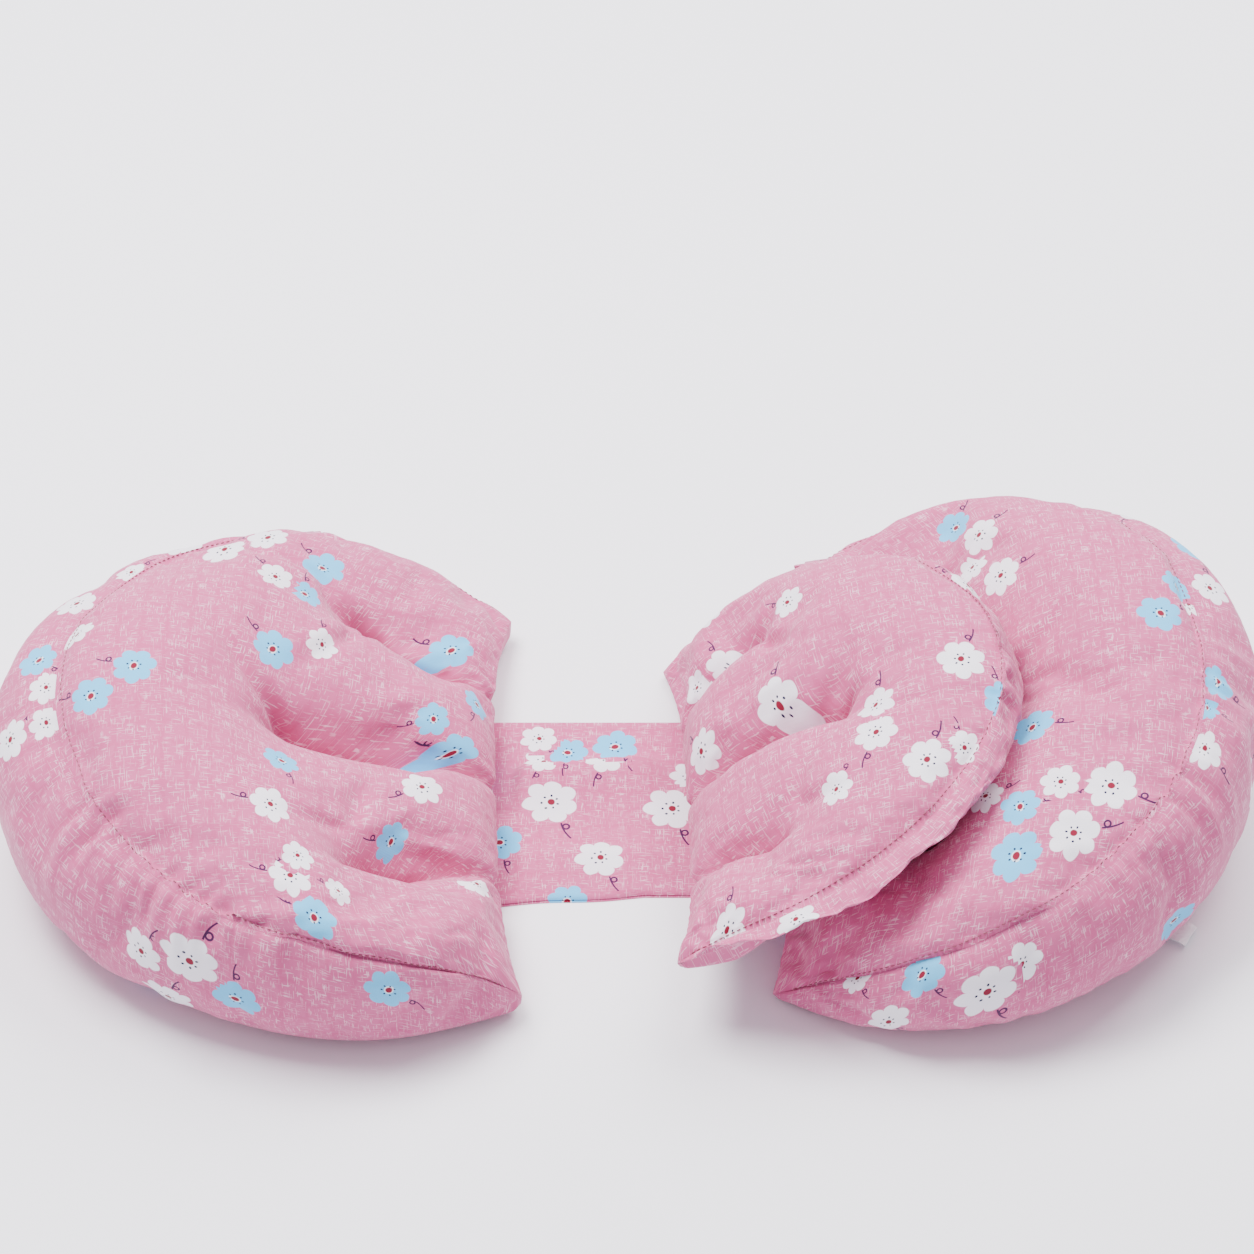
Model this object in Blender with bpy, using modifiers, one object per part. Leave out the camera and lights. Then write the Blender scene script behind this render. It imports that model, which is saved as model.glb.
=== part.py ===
"""Side-sleeper and nursing pillow: two large D-shaped cushions joined by a double fabric belt,
and a small D-shaped cushion sewn to the belt beside the right one.

Metres, +Z up. The origin is on the floor under the middle of the belt, +X runs along the belt
from the left cushion to the right one, and +Y runs along the cushions' straight sides.

Each cushion has its own frame: its origin is the middle of the straight side, +x runs out to the
round side, +y along the straight side. A section at a place t along the cushion, from -1 at the
front tip to 1 at the back tip, is a ring of points: the straight edge, the top panel, the top
seam, the gusset, the lower seam and the bottom panel.
"""

import math

import bmesh
import bpy
from mathutils import Matrix, Vector
from mathutils.bvhtree import BVHTree

# Cloth, thread and clearances
FABRIC = 0.0012
GAP = 0.0003
FILL_CLEARANCE = 0.0008
THREAD_RADIUS = 0.0005
REST_CLEARANCE = 0.004
TOP_RISE = 0.008
EDGE_RISE = 0.002

# A gusset stops at its corners where it gets narrower than this
NARROWEST_END = 0.006

# How far round the small cushion, as a share of its outline, the one below is pressed down
PRESS_FADE_START = 0.98
PRESS_FADE_END = 1.45

# The place along the straight side beside which a cushion is widest
WIDEST_PLACE = 0.7

# How steeply a pressed panel recovers towards its seam
SEAM_STIFFNESS = 6

# Belt
BELT_WIDTH = 0.152
BELT_MID_Y = -0.030
LEFT_FOLD_X = -0.080
RIGHT_FOLD_X = 0.034
LEFT_END_LENGTH = 0.105
RIGHT_END_LENGTH = 0.130
BELT_STITCH_INSET = 0.004
SMALL_HINGE_INSET = 0.005

# Hook and loop closure under the left cushion
TAPE_PILE = 0.0010
HOOK_LENGTH = 0.055
HOOK_WIDTH = 0.050
HOOK_INSET = 0.025
LOOP_LENGTH = 0.070
LOOP_INSET = 0.020

# Zips, on the back of each gusset
ZIP_TAPE_WIDTH = 0.022
ZIP_TAPE_THICKNESS = 0.0008
ZIP_COIL_RADIUS = 0.0011
SLIDER_LENGTH = 0.010
SLIDER_WIDTH = 0.008
SLIDER_THICKNESS = 0.0022
PULL_LENGTH = 0.020
PULL_WIDTH = 0.006
PULL_THICKNESS = 0.0012
ZIP_END_MARGIN = 0.010

# Care label in the right cushion's lower seam
LABEL_PLACE = -0.27
LABEL_WIDTH = 0.022
LABEL_LENGTH = 0.040
LABEL_THICKNESS = 0.0006
LABEL_SEAM_GAP = 0.0002
LABEL_DROOP = 8.0

# The least share of a valley's direction that a wall beside a stitch is taken to face
LEAST_FACING = 0.30

# Places along the straight side where rings of points stand, back half
STATIONS = (0.0, 0.06, 0.17, 0.3, 0.42, 0.5, 0.58, 0.7, 0.82, 0.91, 0.97, 1.0)
CHANNEL_PLACES = (-0.5, 0.0, 0.5)
CHANNEL_END = 0.5
CHANNEL_HALF_WIDTH = 0.045
ZIP_STATIONS = (0.3, 0.42, 0.5, 0.58, 0.7)

# Places across a panel, from the straight edge to the seam
TOP_ROWS = (0.0, 0.03, 0.10, 0.20, 0.34, 0.5, 0.68, 0.86, 1.0)
GUSSET_ROWS = (0.3, 0.7)
BOTTOM_ROWS = (0.85, 0.68, 0.48, 0.25, 0.06)
FLAT_ROW = 2
FLAT_ROW_RANGE = (0.30, 0.64)
TOP_SEAM = len(TOP_ROWS) - 1
LOWER_SEAM = TOP_SEAM + len(GUSSET_ROWS) + 1
RING = LOWER_SEAM + len(BOTTOM_ROWS) + 1
CHANNEL_STITCH_ROWS = range(2, 5)

SEAM_TRIM = 1.2 * FABRIC
BELT_TOP = 2 * FABRIC + GAP
HOOK_TOP = BELT_TOP + GAP + TAPE_PILE
LOOP_TOP = HOOK_TOP + GAP + TAPE_PILE
JOINING_STRIP_TOP = BELT_TOP + GAP + FABRIC

LARGE = {
    "radius": 0.195,
    "tip_height": 0.0165,
    "edge_height": 0.024,
    "ear": 0.012,
    "lower_seam": 0.009,
    "stitch_height": 0.046,
    "nod": 0.0,
    "tilt": 0.0,
    "underside_reach": 0.135,
    "bottom_height": 0.0,
    "colour": (0.74, 0.36, 0.47, 1.0),
}
CUSHIONS = {
    "left": {
        **LARGE,
        "mirrored": True,
        "origin": (-0.0662, -0.0338, 0.0),
        "turn": 2.3,
        "centre": 0.118,
        "aspect": 0.841,
        "belly_front": 0.82,
        "belly_back": 0.90,
        "sharpness_front": 6.5,
        "sharpness_back": 1.25,
        "seam_height": 0.111,
        "seam_rise_x": 0.050,
        "seam_rise_y": 0.115,
        "crown": 0.015,
        "bulge_middle": 0.041,
        "bulge_side": 0.014,
        "underside": LOOP_TOP + GAP,
    },
    "right": {
        **LARGE,
        "mirrored": False,
        "origin": (0.0886, -0.0097, 0.0),
        "turn": -1.6,
        "centre": 0.098,
        "aspect": 0.8485,
        "belly_front": 0.98,
        "belly_back": 0.87,
        "sharpness_front": 5.2,
        "sharpness_back": 2.1,
        "seam_height": 0.0826,
        "seam_rise_x": 0.184,
        "seam_rise_y": 0.070,
        "crown": 0.0065,
        "bulge_middle": 0.033,
        "bulge_side": 0.0146,
        "tip_height": 0.006,
        "underside": BELT_TOP + GAP,
    },
    "small": {
        "radius": 0.180,
        "centre": 0.109,
        "aspect": 0.763,
        "belly_front": 0.51,
        "belly_back": 0.56,
        "sharpness_front": 9.0,
        "sharpness_back": 1.5,
        "tip_height": 0.002,
        "edge_height": -0.002,
        "ear": 0.010,
        "crown": 0.010,
        "stitch_height": 0.020,
        "lower_seam": 0.012,
        "bulge_middle": 0.002,
        "bulge_side": 0.022,
        "mirrored": False,
        "origin": (0.0261, -0.0535, 0.0251),
        "turn": 1.2,
        "nod": -9.4,
        "tilt": -19.8,
        "seam_height": 0.055,
        "seam_rise_x": -0.026,
        "seam_rise_y": 0.247,
        "underside": -0.018,
        "underside_reach": 0.032,
        "bottom_height": -0.002,
        "contact_height": -0.008,
        "colour": (0.76, 0.38, 0.49, 1.0),
    },
}


def clear_scene():
    for obj in list(bpy.data.objects):
        bpy.data.objects.remove(obj, do_unlink=True)


def make_material(name, colour, roughness, metallic=0.0):
    material = bpy.data.materials.new(name)
    material.use_nodes = True
    shader = material.node_tree.nodes["Principled BSDF"]
    shader.inputs["Base Color"].default_value = colour
    shader.inputs["Roughness"].default_value = roughness
    shader.inputs["Metallic"].default_value = metallic
    material.diffuse_color = colour
    return material


def make_empty(name, location, parent=None):
    empty = bpy.data.objects.new(name, None)
    empty.empty_display_size = 0.03
    empty.location = location
    parts.objects.link(empty)
    if parent:
        keep_in_place(empty, parent)
    return empty


def keep_in_place(obj, parent):
    """Parents obj without moving it."""
    bpy.context.view_layer.update()
    obj.parent = parent
    obj.matrix_parent_inverse = parent.matrix_world.inverted()


def add_object(name, data, material, parent):
    data.materials.clear()
    data.materials.append(material)
    obj = bpy.data.objects.new(name, data)
    parts.objects.link(obj)
    keep_in_place(obj, parent)
    return obj


def mesh_from(bm, name):
    mesh = bpy.data.meshes.new(name)
    bm.to_mesh(mesh)
    bm.free()
    return mesh


def add_box(name, low, high, material, parent, round_edges=0.0):
    bm = bmesh.new()
    bmesh.ops.create_cube(bm, size=1.0)
    low, high = Vector(low), Vector(high)
    for vert in bm.verts:
        vert.co = (low + high) / 2 + Vector(a * b for a, b in zip(vert.co, high - low))
    obj = add_object(name, mesh_from(bm, name), material, parent)
    if round_edges:
        bevel = obj.modifiers.new("Rounded edges", "BEVEL")
        bevel.width = round_edges
        bevel.segments = 2
    return obj


def add_thread(name, points, radius, material, parent):
    """A round thread through the points, with closed ends."""
    curve = bpy.data.curves.new(name, "CURVE")
    curve.dimensions = "3D"
    curve.bevel_depth = radius
    curve.bevel_resolution = 1
    curve.use_fill_caps = True
    spline = curve.splines.new("POLY")
    spline.points.add(len(points) - 1)
    for spline_point, point in zip(spline.points, points):
        spline_point.co = (*point, 1.0)
    return add_object(name, curve, material, parent)


# ------------------------------------------------------------------ a cushion's shape


def mirror_stations(stations):
    return tuple(-t for t in reversed(stations[1:])) + tuple(stations)


def tip_angle(spec):
    return math.acos(-spec["centre"] / spec["radius"])


def fade(spec, t):
    """1 along most of the cushion, falling to 0 at its tips."""
    return 1 - abs(t) ** spec["sharpness_back" if t > 0 else "sharpness_front"]


def arc_plan(spec, t, outward=0.0):
    """A point of the round side in plan, moved outward along its normal."""
    angle = t * tip_angle(spec)
    semi_x = spec["radius"] * spec["aspect"]
    half_length = spec["radius"] * math.sin(tip_angle(spec))
    belly = spec["belly_back"] if t > 0 else spec["belly_front"]
    x = semi_x * (math.cos(angle) + spec["centre"] / spec["radius"])
    y = half_length * t + belly * (spec["radius"] * math.sin(angle) - half_length * t)
    slope_x = -semi_x * math.sin(angle) * tip_angle(spec)
    slope_y = half_length * (1 - belly) + belly * spec["radius"] * math.cos(angle) * tip_angle(spec)
    normal = Vector((slope_y, -slope_x)).normalized()
    return x + outward * normal.x, y + outward * normal.y


def bulge(spec, t):
    middle = max(0.0, math.cos(t * tip_angle(spec))) ** 2
    size = spec["bulge_side"] + (spec["bulge_middle"] - spec["bulge_side"]) * middle
    return size * (1 - abs(t) ** 6)


def seam_heights(spec, t):
    """Heights of the straight edge, the top seam and the lower seam at a place t."""
    x, y = arc_plan(spec, t)
    level = spec["seam_height"] + spec["seam_rise_x"] * x + spec["seam_rise_y"] * y
    tip = spec["tip_height"]
    edge = spec["edge_height"] + (tip - spec["edge_height"]) * t**4
    top = tip + (level - tip) * fade(spec, t)
    lower = tip + (spec["lower_seam"] - tip) * fade(spec, t)
    return edge, top, lower


def panel_plan(spec, u, t):
    """Plan position at the share u of the way from the straight edge to the round side."""
    half_length = spec["radius"] * math.sin(tip_angle(spec))
    edge_x = spec["ear"] * (1 - t**4)
    arc_x, arc_y = arc_plan(spec, t)
    x = edge_x + u * (arc_x - edge_x)
    y = half_length * t + (arc_y - half_length * t) * u**1.5
    return x, y


def channel_pull(u, t):
    """How far the channel stitching pulls the top panel down, from 0 to 1."""
    across = sum(math.exp(-(((t - place) / CHANNEL_HALF_WIDTH) ** 2)) for place in CHANNEL_PLACES)
    if u < CHANNEL_END:
        along = (u / CHANNEL_END) ** 0.6
    else:
        along = 0.5 + 0.5 * math.cos(min(1.0, (u - CHANNEL_END) / 0.3) * math.pi)
    return across * along


def top_height(spec, u, t):
    edge, seam, _ = seam_heights(spec, t)
    rise = (1 - (1 - u) ** 2.6) ** 0.55
    height = edge + (seam - edge) * rise + spec["crown"] * fade(spec, t) * math.sin(math.pi * u)
    floor = min(height, spec["stitch_height"])
    return height + (floor - height) * channel_pull(u, t)


def bottom_height(spec, u, t):
    """The underside: lifted over the belt near the straight side, flat farther out."""
    x, _ = panel_plan(spec, u, t)
    ramp = min(1.0, max(0.0, (x - spec["underside_reach"]) / 0.02))
    return spec["underside"] + (spec["bottom_height"] - spec["underside"]) * ramp


def flat_share(spec, t):
    """The share of the way across at which the lifted part of the underside ends."""
    edge_x, _ = panel_plan(spec, 0.0, t)
    arc_x, _ = panel_plan(spec, 1.0, t)
    low, high = FLAT_ROW_RANGE
    if arc_x <= edge_x:
        return low
    return min(high, max(low, (spec["underside_reach"] - edge_x) / (arc_x - edge_x)))


def ring_points(spec, t):
    """The ring of points around the cushion at a place t, in the cushion's own frame."""
    edge, seam, lower = seam_heights(spec, t)
    ring = []
    for u in TOP_ROWS:
        ring.append(Vector((*panel_plan(spec, u, t), top_height(spec, u, t))))
    for share in GUSSET_ROWS:
        plan = arc_plan(spec, t, bulge(spec, t))
        ring.append(Vector((*plan, seam + (lower - seam) * share)))
    ring.append(Vector((*panel_plan(spec, 1.0, t), lower)))
    for row, u in enumerate(BOTTOM_ROWS):
        if row == FLAT_ROW:
            u = flat_share(spec, t)
        ring.append(Vector((*panel_plan(spec, u, t), bottom_height(spec, u, t))))
    ring[0].z = edge
    return ring


def cushion_matrix(spec):
    turn = Matrix.Rotation(math.radians(spec["turn"]), 4, "Z")
    nod = Matrix.Rotation(math.radians(spec["nod"]), 4, "X")
    tilt = Matrix.Rotation(math.radians(spec["tilt"]), 4, "Y")
    mirror = Matrix.Scale(-1, 4, (1, 0, 0)) if spec["mirrored"] else Matrix.Identity(4)
    return Matrix.Translation(spec["origin"]) @ turn @ nod @ tilt @ mirror


def cushion_grid(spec, presser=None, rests_on=None):
    """All rings of a cushion, placed, pressed down by the one above and up by what it rests on."""
    matrix = cushion_matrix(spec)
    grid = []
    for t in mirror_stations(STATIONS):
        ring = [matrix @ point for point in ring_points(spec, t)]
        if presser:
            for row in range(1, TOP_SEAM):
                share = 1 - TOP_ROWS[row] ** SEAM_STIFFNESS
                ring[row].z -= share * press_depth(ring[row], presser)
        if rests_on:
            for index, point in enumerate(ring):
                rise = EDGE_RISE if index == 0 else TOP_RISE if index < TOP_SEAM else 0.0
                point.z = max(point.z, support_height(point, rests_on) + rise)
        grid.append(ring)
    return grid


def press_depth(point, presser):
    """How far the cushion above, where it covers a point, presses that point down."""
    matrix = cushion_matrix(presser)
    local = matrix.inverted() @ point
    semi_x = presser["radius"] * presser["aspect"]
    across = local.x / semi_x - presser["centre"] / presser["radius"]
    _, widest = arc_plan(presser, math.copysign(WIDEST_PLACE, local.y))
    reach = math.hypot(across, local.y / abs(widest))
    cover = min(1.0, max(0.0, (PRESS_FADE_END - reach) / (PRESS_FADE_END - PRESS_FADE_START)))
    cover *= cover * (3 - 2 * cover)
    return cover * max(0.0, local.z - presser["contact_height"]) / matrix.col[2].z


def support_height(point, rests_on):
    """The lowest height that a point may have over the belt and the cushion below it."""
    hit = rests_on.ray_cast(Vector((point.x, point.y, 1.0)), Vector((0, 0, -1)))[0]
    belt = JOINING_STRIP_TOP + GAP
    return max(belt, hit.z + REST_CLEARANCE) if hit else belt


def skin_bmesh(grid, blunt=False):
    """A closed skin through the rings; material 0 is the top, 1 the gusset and 2 the bottom.

    With blunt set, the ends stop in the middle of the last full ring instead of at the tips.
    """
    count = len(grid) - 1
    bm = bmesh.new()
    bmesh.ops.create_grid(bm, x_segments=RING, y_segments=count, size=0.5)
    for face in bm.faces:
        row = int((face.calc_center_median().x + 0.5) * RING)
        face.material_index = 0 if row < TOP_SEAM else 1 if row < LOWER_SEAM else 2
    for vert in bm.verts:
        index = round((vert.co.x + 0.5) * RING) % RING
        station = round((vert.co.y + 0.5) * count)
        if blunt and station in (0, count):
            ring = grid[1 if station == 0 else count - 1]
            vert.co = sum(ring, Vector()) / RING
        elif blunt and station in (1, count - 1):
            ring = grid[station]
            middle = sum(ring, Vector()) / RING
            vert.co = ring[index].lerp(middle, 0.35)
        elif station in (0, count):
            vert.co = grid[station][0]
        else:
            vert.co = grid[station][index]
    bmesh.ops.remove_doubles(bm, verts=bm.verts, dist=0.00001)
    bmesh.ops.triangulate(bm, faces=bm.faces, quad_method="FIXED")
    bmesh.ops.recalc_face_normals(bm, faces=bm.faces)
    return bm


def panel_mesh(grid, panel, name):
    """One panel of the skin, stopping short of its seams."""
    bm = skin_bmesh(grid)
    others = [face for face in bm.faces if face.material_index != panel]
    bmesh.ops.delete(bm, geom=others, context="FACES")
    if panel == 1:
        ends = [face for face in bm.faces if min(edge.calc_length() for edge in face.edges) < NARROWEST_END]
        bmesh.ops.delete(bm, geom=ends, context="FACES")
    moves = {}
    for vert in bm.verts:
        if not vert.is_boundary:
            continue
        inner = [edge.other_vert(vert).co for edge in vert.link_edges if not edge.is_boundary]
        if inner:
            middle = sum(inner, Vector()) / len(inner)
            moves[vert] = (middle - vert.co).normalized() * SEAM_TRIM
    for vert, move in moves.items():
        vert.co += move
    for face in bm.faces:
        face.material_index = 0
    return mesh_from(bm, name)


def fill_mesh(grid, name):
    """The filling: the skin moved inward by the cloth and a clearance."""
    bm = skin_bmesh(grid, blunt=True)
    bm.normal_update()
    moves = [(vert, vert.normal * (FABRIC + FILL_CLEARANCE)) for vert in bm.verts]
    for vert, move in moves:
        vert.co -= move
    for face in bm.faces:
        face.material_index = 0
    return mesh_from(bm, name)


def outward_normal(grid, station, index):
    along = grid[station + 1][index] - grid[station - 1][index]
    around = grid[station][(index + 1) % RING] - grid[station][index - 1]
    normal = along.cross(around).normalized()
    middle = sum(grid[station], Vector()) / RING
    return normal if normal.dot(grid[station][index] - middle) > 0 else -normal


# ------------------------------------------------------------------ a cushion's pieces


def add_cushion(side, spec, grid, parent):
    cloth = make_material(f"{side}_cloth", spec["colour"], 0.85)
    for panel, part in enumerate(("top_panel", "gusset", "bottom_panel")):
        name = f"{side}_{part}"
        obj = add_object(name, panel_mesh(grid, panel, name), cloth, parent)
        solidify = obj.modifiers.new("Cloth thickness", "SOLIDIFY")
        solidify.thickness = FABRIC
        solidify.offset = -1
    name = f"{side}_fill"
    add_object(name, fill_mesh(grid, name), fibre, parent)
    add_seam_stitch(side, grid, parent)
    for number, place in enumerate(CHANNEL_PLACES, 1):
        add_channel_stitch(f"{side}_channel_stitch_{number}", grid, place, parent)


def add_seam_stitch(side, grid, parent):
    """The topstitching that runs along the top seam, from tip to tip."""
    points = []
    for station in range(1, len(grid) - 1):
        normal = outward_normal(grid, station, TOP_SEAM)
        points.append(grid[station][TOP_SEAM] + normal * (THREAD_RADIUS + GAP))
    add_thread(f"{side}_seam_stitch", points, THREAD_RADIUS, seam_thread, parent)


def valley_offset(grid, station, index, clearance):
    """The move that brings a point at the bottom of a valley clear of the facets around it."""
    here = grid[station][index]
    steps = ((0, 1), (1, 1), (1, 0), (1, -1), (0, -1), (-1, -1), (-1, 0), (-1, 1))
    around = [grid[station + a][index + b] - here for a, b in steps]
    normals = [one.cross(two).normalized() for one, two in zip(around, around[1:] + around[:1])]
    middle = sum(normals, Vector()).normalized()
    if middle.z < 0:
        middle = -middle
    steepest = min(abs(middle.dot(normal)) for normal in normals)
    return middle * clearance / max(steepest, LEAST_FACING)


def add_channel_stitch(name, grid, place, parent):
    """Thread in the valley of one channel, clear of both of its walls."""
    station = mirror_stations(STATIONS).index(place)
    points = []
    for index in CHANNEL_STITCH_ROWS:
        offset = valley_offset(grid, station, index, THREAD_RADIUS + GAP + 0.0001)
        points.append(grid[station][index] + offset)
    add_thread(name, points, THREAD_RADIUS, channel_thread, parent)


def circle_through(a, b, c):
    """Centre of the circle through three plan points."""
    d = 2 * (a[0] * (b[1] - c[1]) + b[0] * (c[1] - a[1]) + c[0] * (a[1] - b[1]))
    squares = [p[0] ** 2 + p[1] ** 2 for p in (a, b, c)]
    x = (squares[0] * (b[1] - c[1]) + squares[1] * (c[1] - a[1]) + squares[2] * (a[1] - b[1])) / d
    y = (squares[0] * (c[0] - b[0]) + squares[1] * (a[0] - c[0]) + squares[2] * (b[0] - a[0])) / d
    return x, y


def zip_path(spec):
    """The zip's circle in the cushion's own frame: centre, radius, first and last angle, height."""
    plans = [arc_plan(spec, t, bulge(spec, t)) for t in ZIP_STATIONS]
    centre = circle_through(plans[0], plans[2], plans[4])
    radius = max(math.dist(plan, centre) for plan in plans) + GAP
    angles = [math.atan2(plan[1] - centre[1], plan[0] - centre[0]) for plan in plans]
    margin = ZIP_END_MARGIN / radius
    _, seam, lower = seam_heights(spec, ZIP_STATIONS[2])
    return centre, radius, angles[0] + margin, angles[-1] - margin, (seam + lower) / 2


def zip_frame(spec, angle, radius):
    """Frame on the zip's circle: x along the zip, y up, z outward."""
    centre, _, _, _, height = zip_path(spec)
    radial = Vector((math.cos(angle), math.sin(angle), 0))
    along = Vector((-math.sin(angle), math.cos(angle), 0))
    place = Vector((*centre, height)) + radial * radius
    frame = Matrix((along, Vector((0, 0, 1)), radial)).transposed().to_4x4()
    frame.translation = place
    return cushion_matrix(spec) @ frame


def add_zip(side, spec, parent):
    centre, radius, first, last, height = zip_path(spec)
    matrix = cushion_matrix(spec)

    bm = bmesh.new()
    bmesh.ops.create_grid(bm, x_segments=14, y_segments=1, size=0.5)
    for vert in bm.verts:
        angle = first + (last - first) * (vert.co.x + 0.5)
        z = height + vert.co.y * ZIP_TAPE_WIDTH
        plan = (centre[0] + radius * math.cos(angle), centre[1] + radius * math.sin(angle))
        vert.co = matrix @ Vector((*plan, z))
    middle = matrix @ Vector((*centre, height))
    for face in bm.faces:
        face.normal_update()
        if face.normal.dot(face.calc_center_median() - middle) < 0:
            face.normal_flip()
    tape = add_object(f"{side}_zip_tape", mesh_from(bm, f"{side}_zip_tape"), zip_cloth, parent)
    solidify = tape.modifiers.new("Tape thickness", "SOLIDIFY")
    solidify.thickness = ZIP_TAPE_THICKNESS
    solidify.offset = 1

    coil_radius = radius + ZIP_TAPE_THICKNESS + GAP + ZIP_COIL_RADIUS
    steps = 14
    points = []
    for step in range(steps + 1):
        angle = first + (last - first) * step / steps
        plan = (centre[0] + coil_radius * math.cos(angle), centre[1] + coil_radius * math.sin(angle))
        points.append(matrix @ Vector((*plan, height)))
    add_thread(f"{side}_zip_coil", points, ZIP_COIL_RADIUS, zip_teeth, parent)

    slider_foot = coil_radius + ZIP_COIL_RADIUS + GAP
    start = last - SLIDER_LENGTH / slider_foot
    pivot = make_empty(f"{side}_zip_axis", matrix @ Vector((*centre, height)), parent)
    slider = add_box(
        f"{side}_zip_slider",
        (-SLIDER_LENGTH / 2, -SLIDER_WIDTH / 2, 0),
        (SLIDER_LENGTH / 2, SLIDER_WIDTH / 2, SLIDER_THICKNESS),
        zip_metal,
        parent,
        round_edges=0.0007,
    )
    slider.parent = pivot
    slider.matrix_parent_inverse = pivot.matrix_world.inverted()
    slider.matrix_world = zip_frame(spec, start, slider_foot)

    flat = zip_frame(spec, start, slider_foot + SLIDER_THICKNESS + GAP)
    pull_pivot = make_empty(f"{side}_zip_pull_axis", flat @ Vector((0, 0, PULL_THICKNESS / 2)), pivot)
    pull = add_box(
        f"{side}_zip_pull",
        (-PULL_LENGTH, -PULL_WIDTH / 2, 0),
        (PULL_THICKNESS / 2, PULL_WIDTH / 2, PULL_THICKNESS),
        zip_metal,
        parent,
        round_edges=0.0004,
    )
    pull.parent = pull_pivot
    pull.matrix_parent_inverse = pull_pivot.matrix_world.inverted()
    pull.matrix_world = flat


def add_label(spec, parent):
    """A blank care label, sewn into the lower seam and drooping towards the floor."""
    seam = Vector((*arc_plan(spec, LABEL_PLACE), seam_heights(spec, LABEL_PLACE)[2]))
    foot = Vector((*arc_plan(spec, LABEL_PLACE, LABEL_SEAM_GAP), seam.z - LABEL_SEAM_GAP))
    out = Vector((foot.x - seam.x, foot.y - seam.y, 0)).normalized()
    along = Vector((-out.y, out.x, 0))
    frame = Matrix((-along, out, Vector((0, 0, 1)))).transposed().to_4x4()
    frame.translation = foot
    droop = Matrix.Rotation(math.radians(-LABEL_DROOP), 4, "X")
    matrix = cushion_matrix(spec) @ frame @ droop
    pivot = make_empty("care_label_axis", matrix.translation, parent)
    label = add_box(
        "care_label",
        (-LABEL_WIDTH / 2, 0, 0),
        (LABEL_WIDTH / 2, LABEL_LENGTH, LABEL_THICKNESS),
        label_satin,
        parent,
    )
    label.parent = pivot
    label.matrix_parent_inverse = pivot.matrix_world.inverted()
    label.matrix_world = matrix


# ------------------------------------------------------------------ the belt


def add_belt():
    front = BELT_MID_Y - BELT_WIDTH / 2
    back = BELT_MID_Y + BELT_WIDTH / 2
    upper = FABRIC + GAP
    stretches = {
        "belt": (LEFT_FOLD_X + GAP / 2, RIGHT_FOLD_X - GAP / 2, belt_root),
        "left_belt_end": (LEFT_FOLD_X - LEFT_END_LENGTH, LEFT_FOLD_X - GAP / 2, left_fold),
        "right_belt_end": (RIGHT_FOLD_X + GAP / 2, RIGHT_FOLD_X + RIGHT_END_LENGTH, right_fold),
    }
    for name, (x0, x1, parent) in stretches.items():
        add_box(f"{name}_lower_layer", (x0, front, 0), (x1, back, FABRIC), belt_cloth, parent)
        add_box(f"{name}_upper_layer", (x0, front, upper), (x1, back, BELT_TOP), belt_cloth, parent)
    height = BELT_TOP + GAP + THREAD_RADIUS
    for name, y in (("front", front + BELT_STITCH_INSET), ("back", back - BELT_STITCH_INSET)):
        points = [(LEFT_FOLD_X + 0.002, y, height), (RIGHT_FOLD_X - 0.002, y, height)]
        add_thread(f"belt_{name}_edge_stitch", points, THREAD_RADIUS, channel_thread, belt_root)


def add_closure():
    """Hook tape on the belt's left end, loop tape under the left cushion."""
    hook_x = LEFT_FOLD_X - HOOK_INSET
    low = (hook_x - HOOK_LENGTH, BELT_MID_Y - HOOK_WIDTH / 2, BELT_TOP + GAP)
    high = (hook_x, BELT_MID_Y + HOOK_WIDTH / 2, HOOK_TOP)
    add_box("hook_tape", low, high, closure_tape, left_fold)
    loop_x = LEFT_FOLD_X - LOOP_INSET
    low = (loop_x - LOOP_LENGTH, BELT_MID_Y - HOOK_WIDTH / 2, HOOK_TOP + GAP)
    high = (loop_x, BELT_MID_Y + HOOK_WIDTH / 2, LOOP_TOP)
    add_box("loop_tape", low, high, closure_tape, left_slide)


def add_joining_strip():
    """The strip that sews the small cushion's straight edge to the belt."""
    low = (RIGHT_FOLD_X + 0.006, BELT_MID_Y - BELT_WIDTH / 2, BELT_TOP + GAP)
    high = (RIGHT_FOLD_X + 0.030, BELT_MID_Y + BELT_WIDTH / 2, JOINING_STRIP_TOP)
    add_box("small_joining_strip", low, high, belt_cloth, right_fold)


clear_scene()
parts = bpy.data.collections.new("nursing_pillow")
bpy.context.scene.collection.children.link(parts)

belt_cloth = make_material("belt_cloth", (0.74, 0.36, 0.47, 1.0), 0.85)
fibre = make_material("polyester_fibre", (0.9, 0.9, 0.9, 1.0), 0.95)
seam_thread = make_material("dark_red_thread", (0.25, 0.03, 0.08, 1.0), 0.6)
channel_thread = make_material("pink_thread", (0.66, 0.28, 0.4, 1.0), 0.6)
zip_cloth = make_material("zip_tape", (0.72, 0.34, 0.45, 1.0), 0.8)
zip_teeth = make_material("zip_teeth", (0.7, 0.36, 0.46, 1.0), 0.5)
zip_metal = make_material("zip_metal", (0.75, 0.75, 0.77, 1.0), 0.35, 1.0)
closure_tape = make_material("closure_tape", (0.85, 0.6, 0.68, 1.0), 0.9)
label_satin = make_material("label_satin", (0.92, 0.92, 0.92, 1.0), 0.5)

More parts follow.
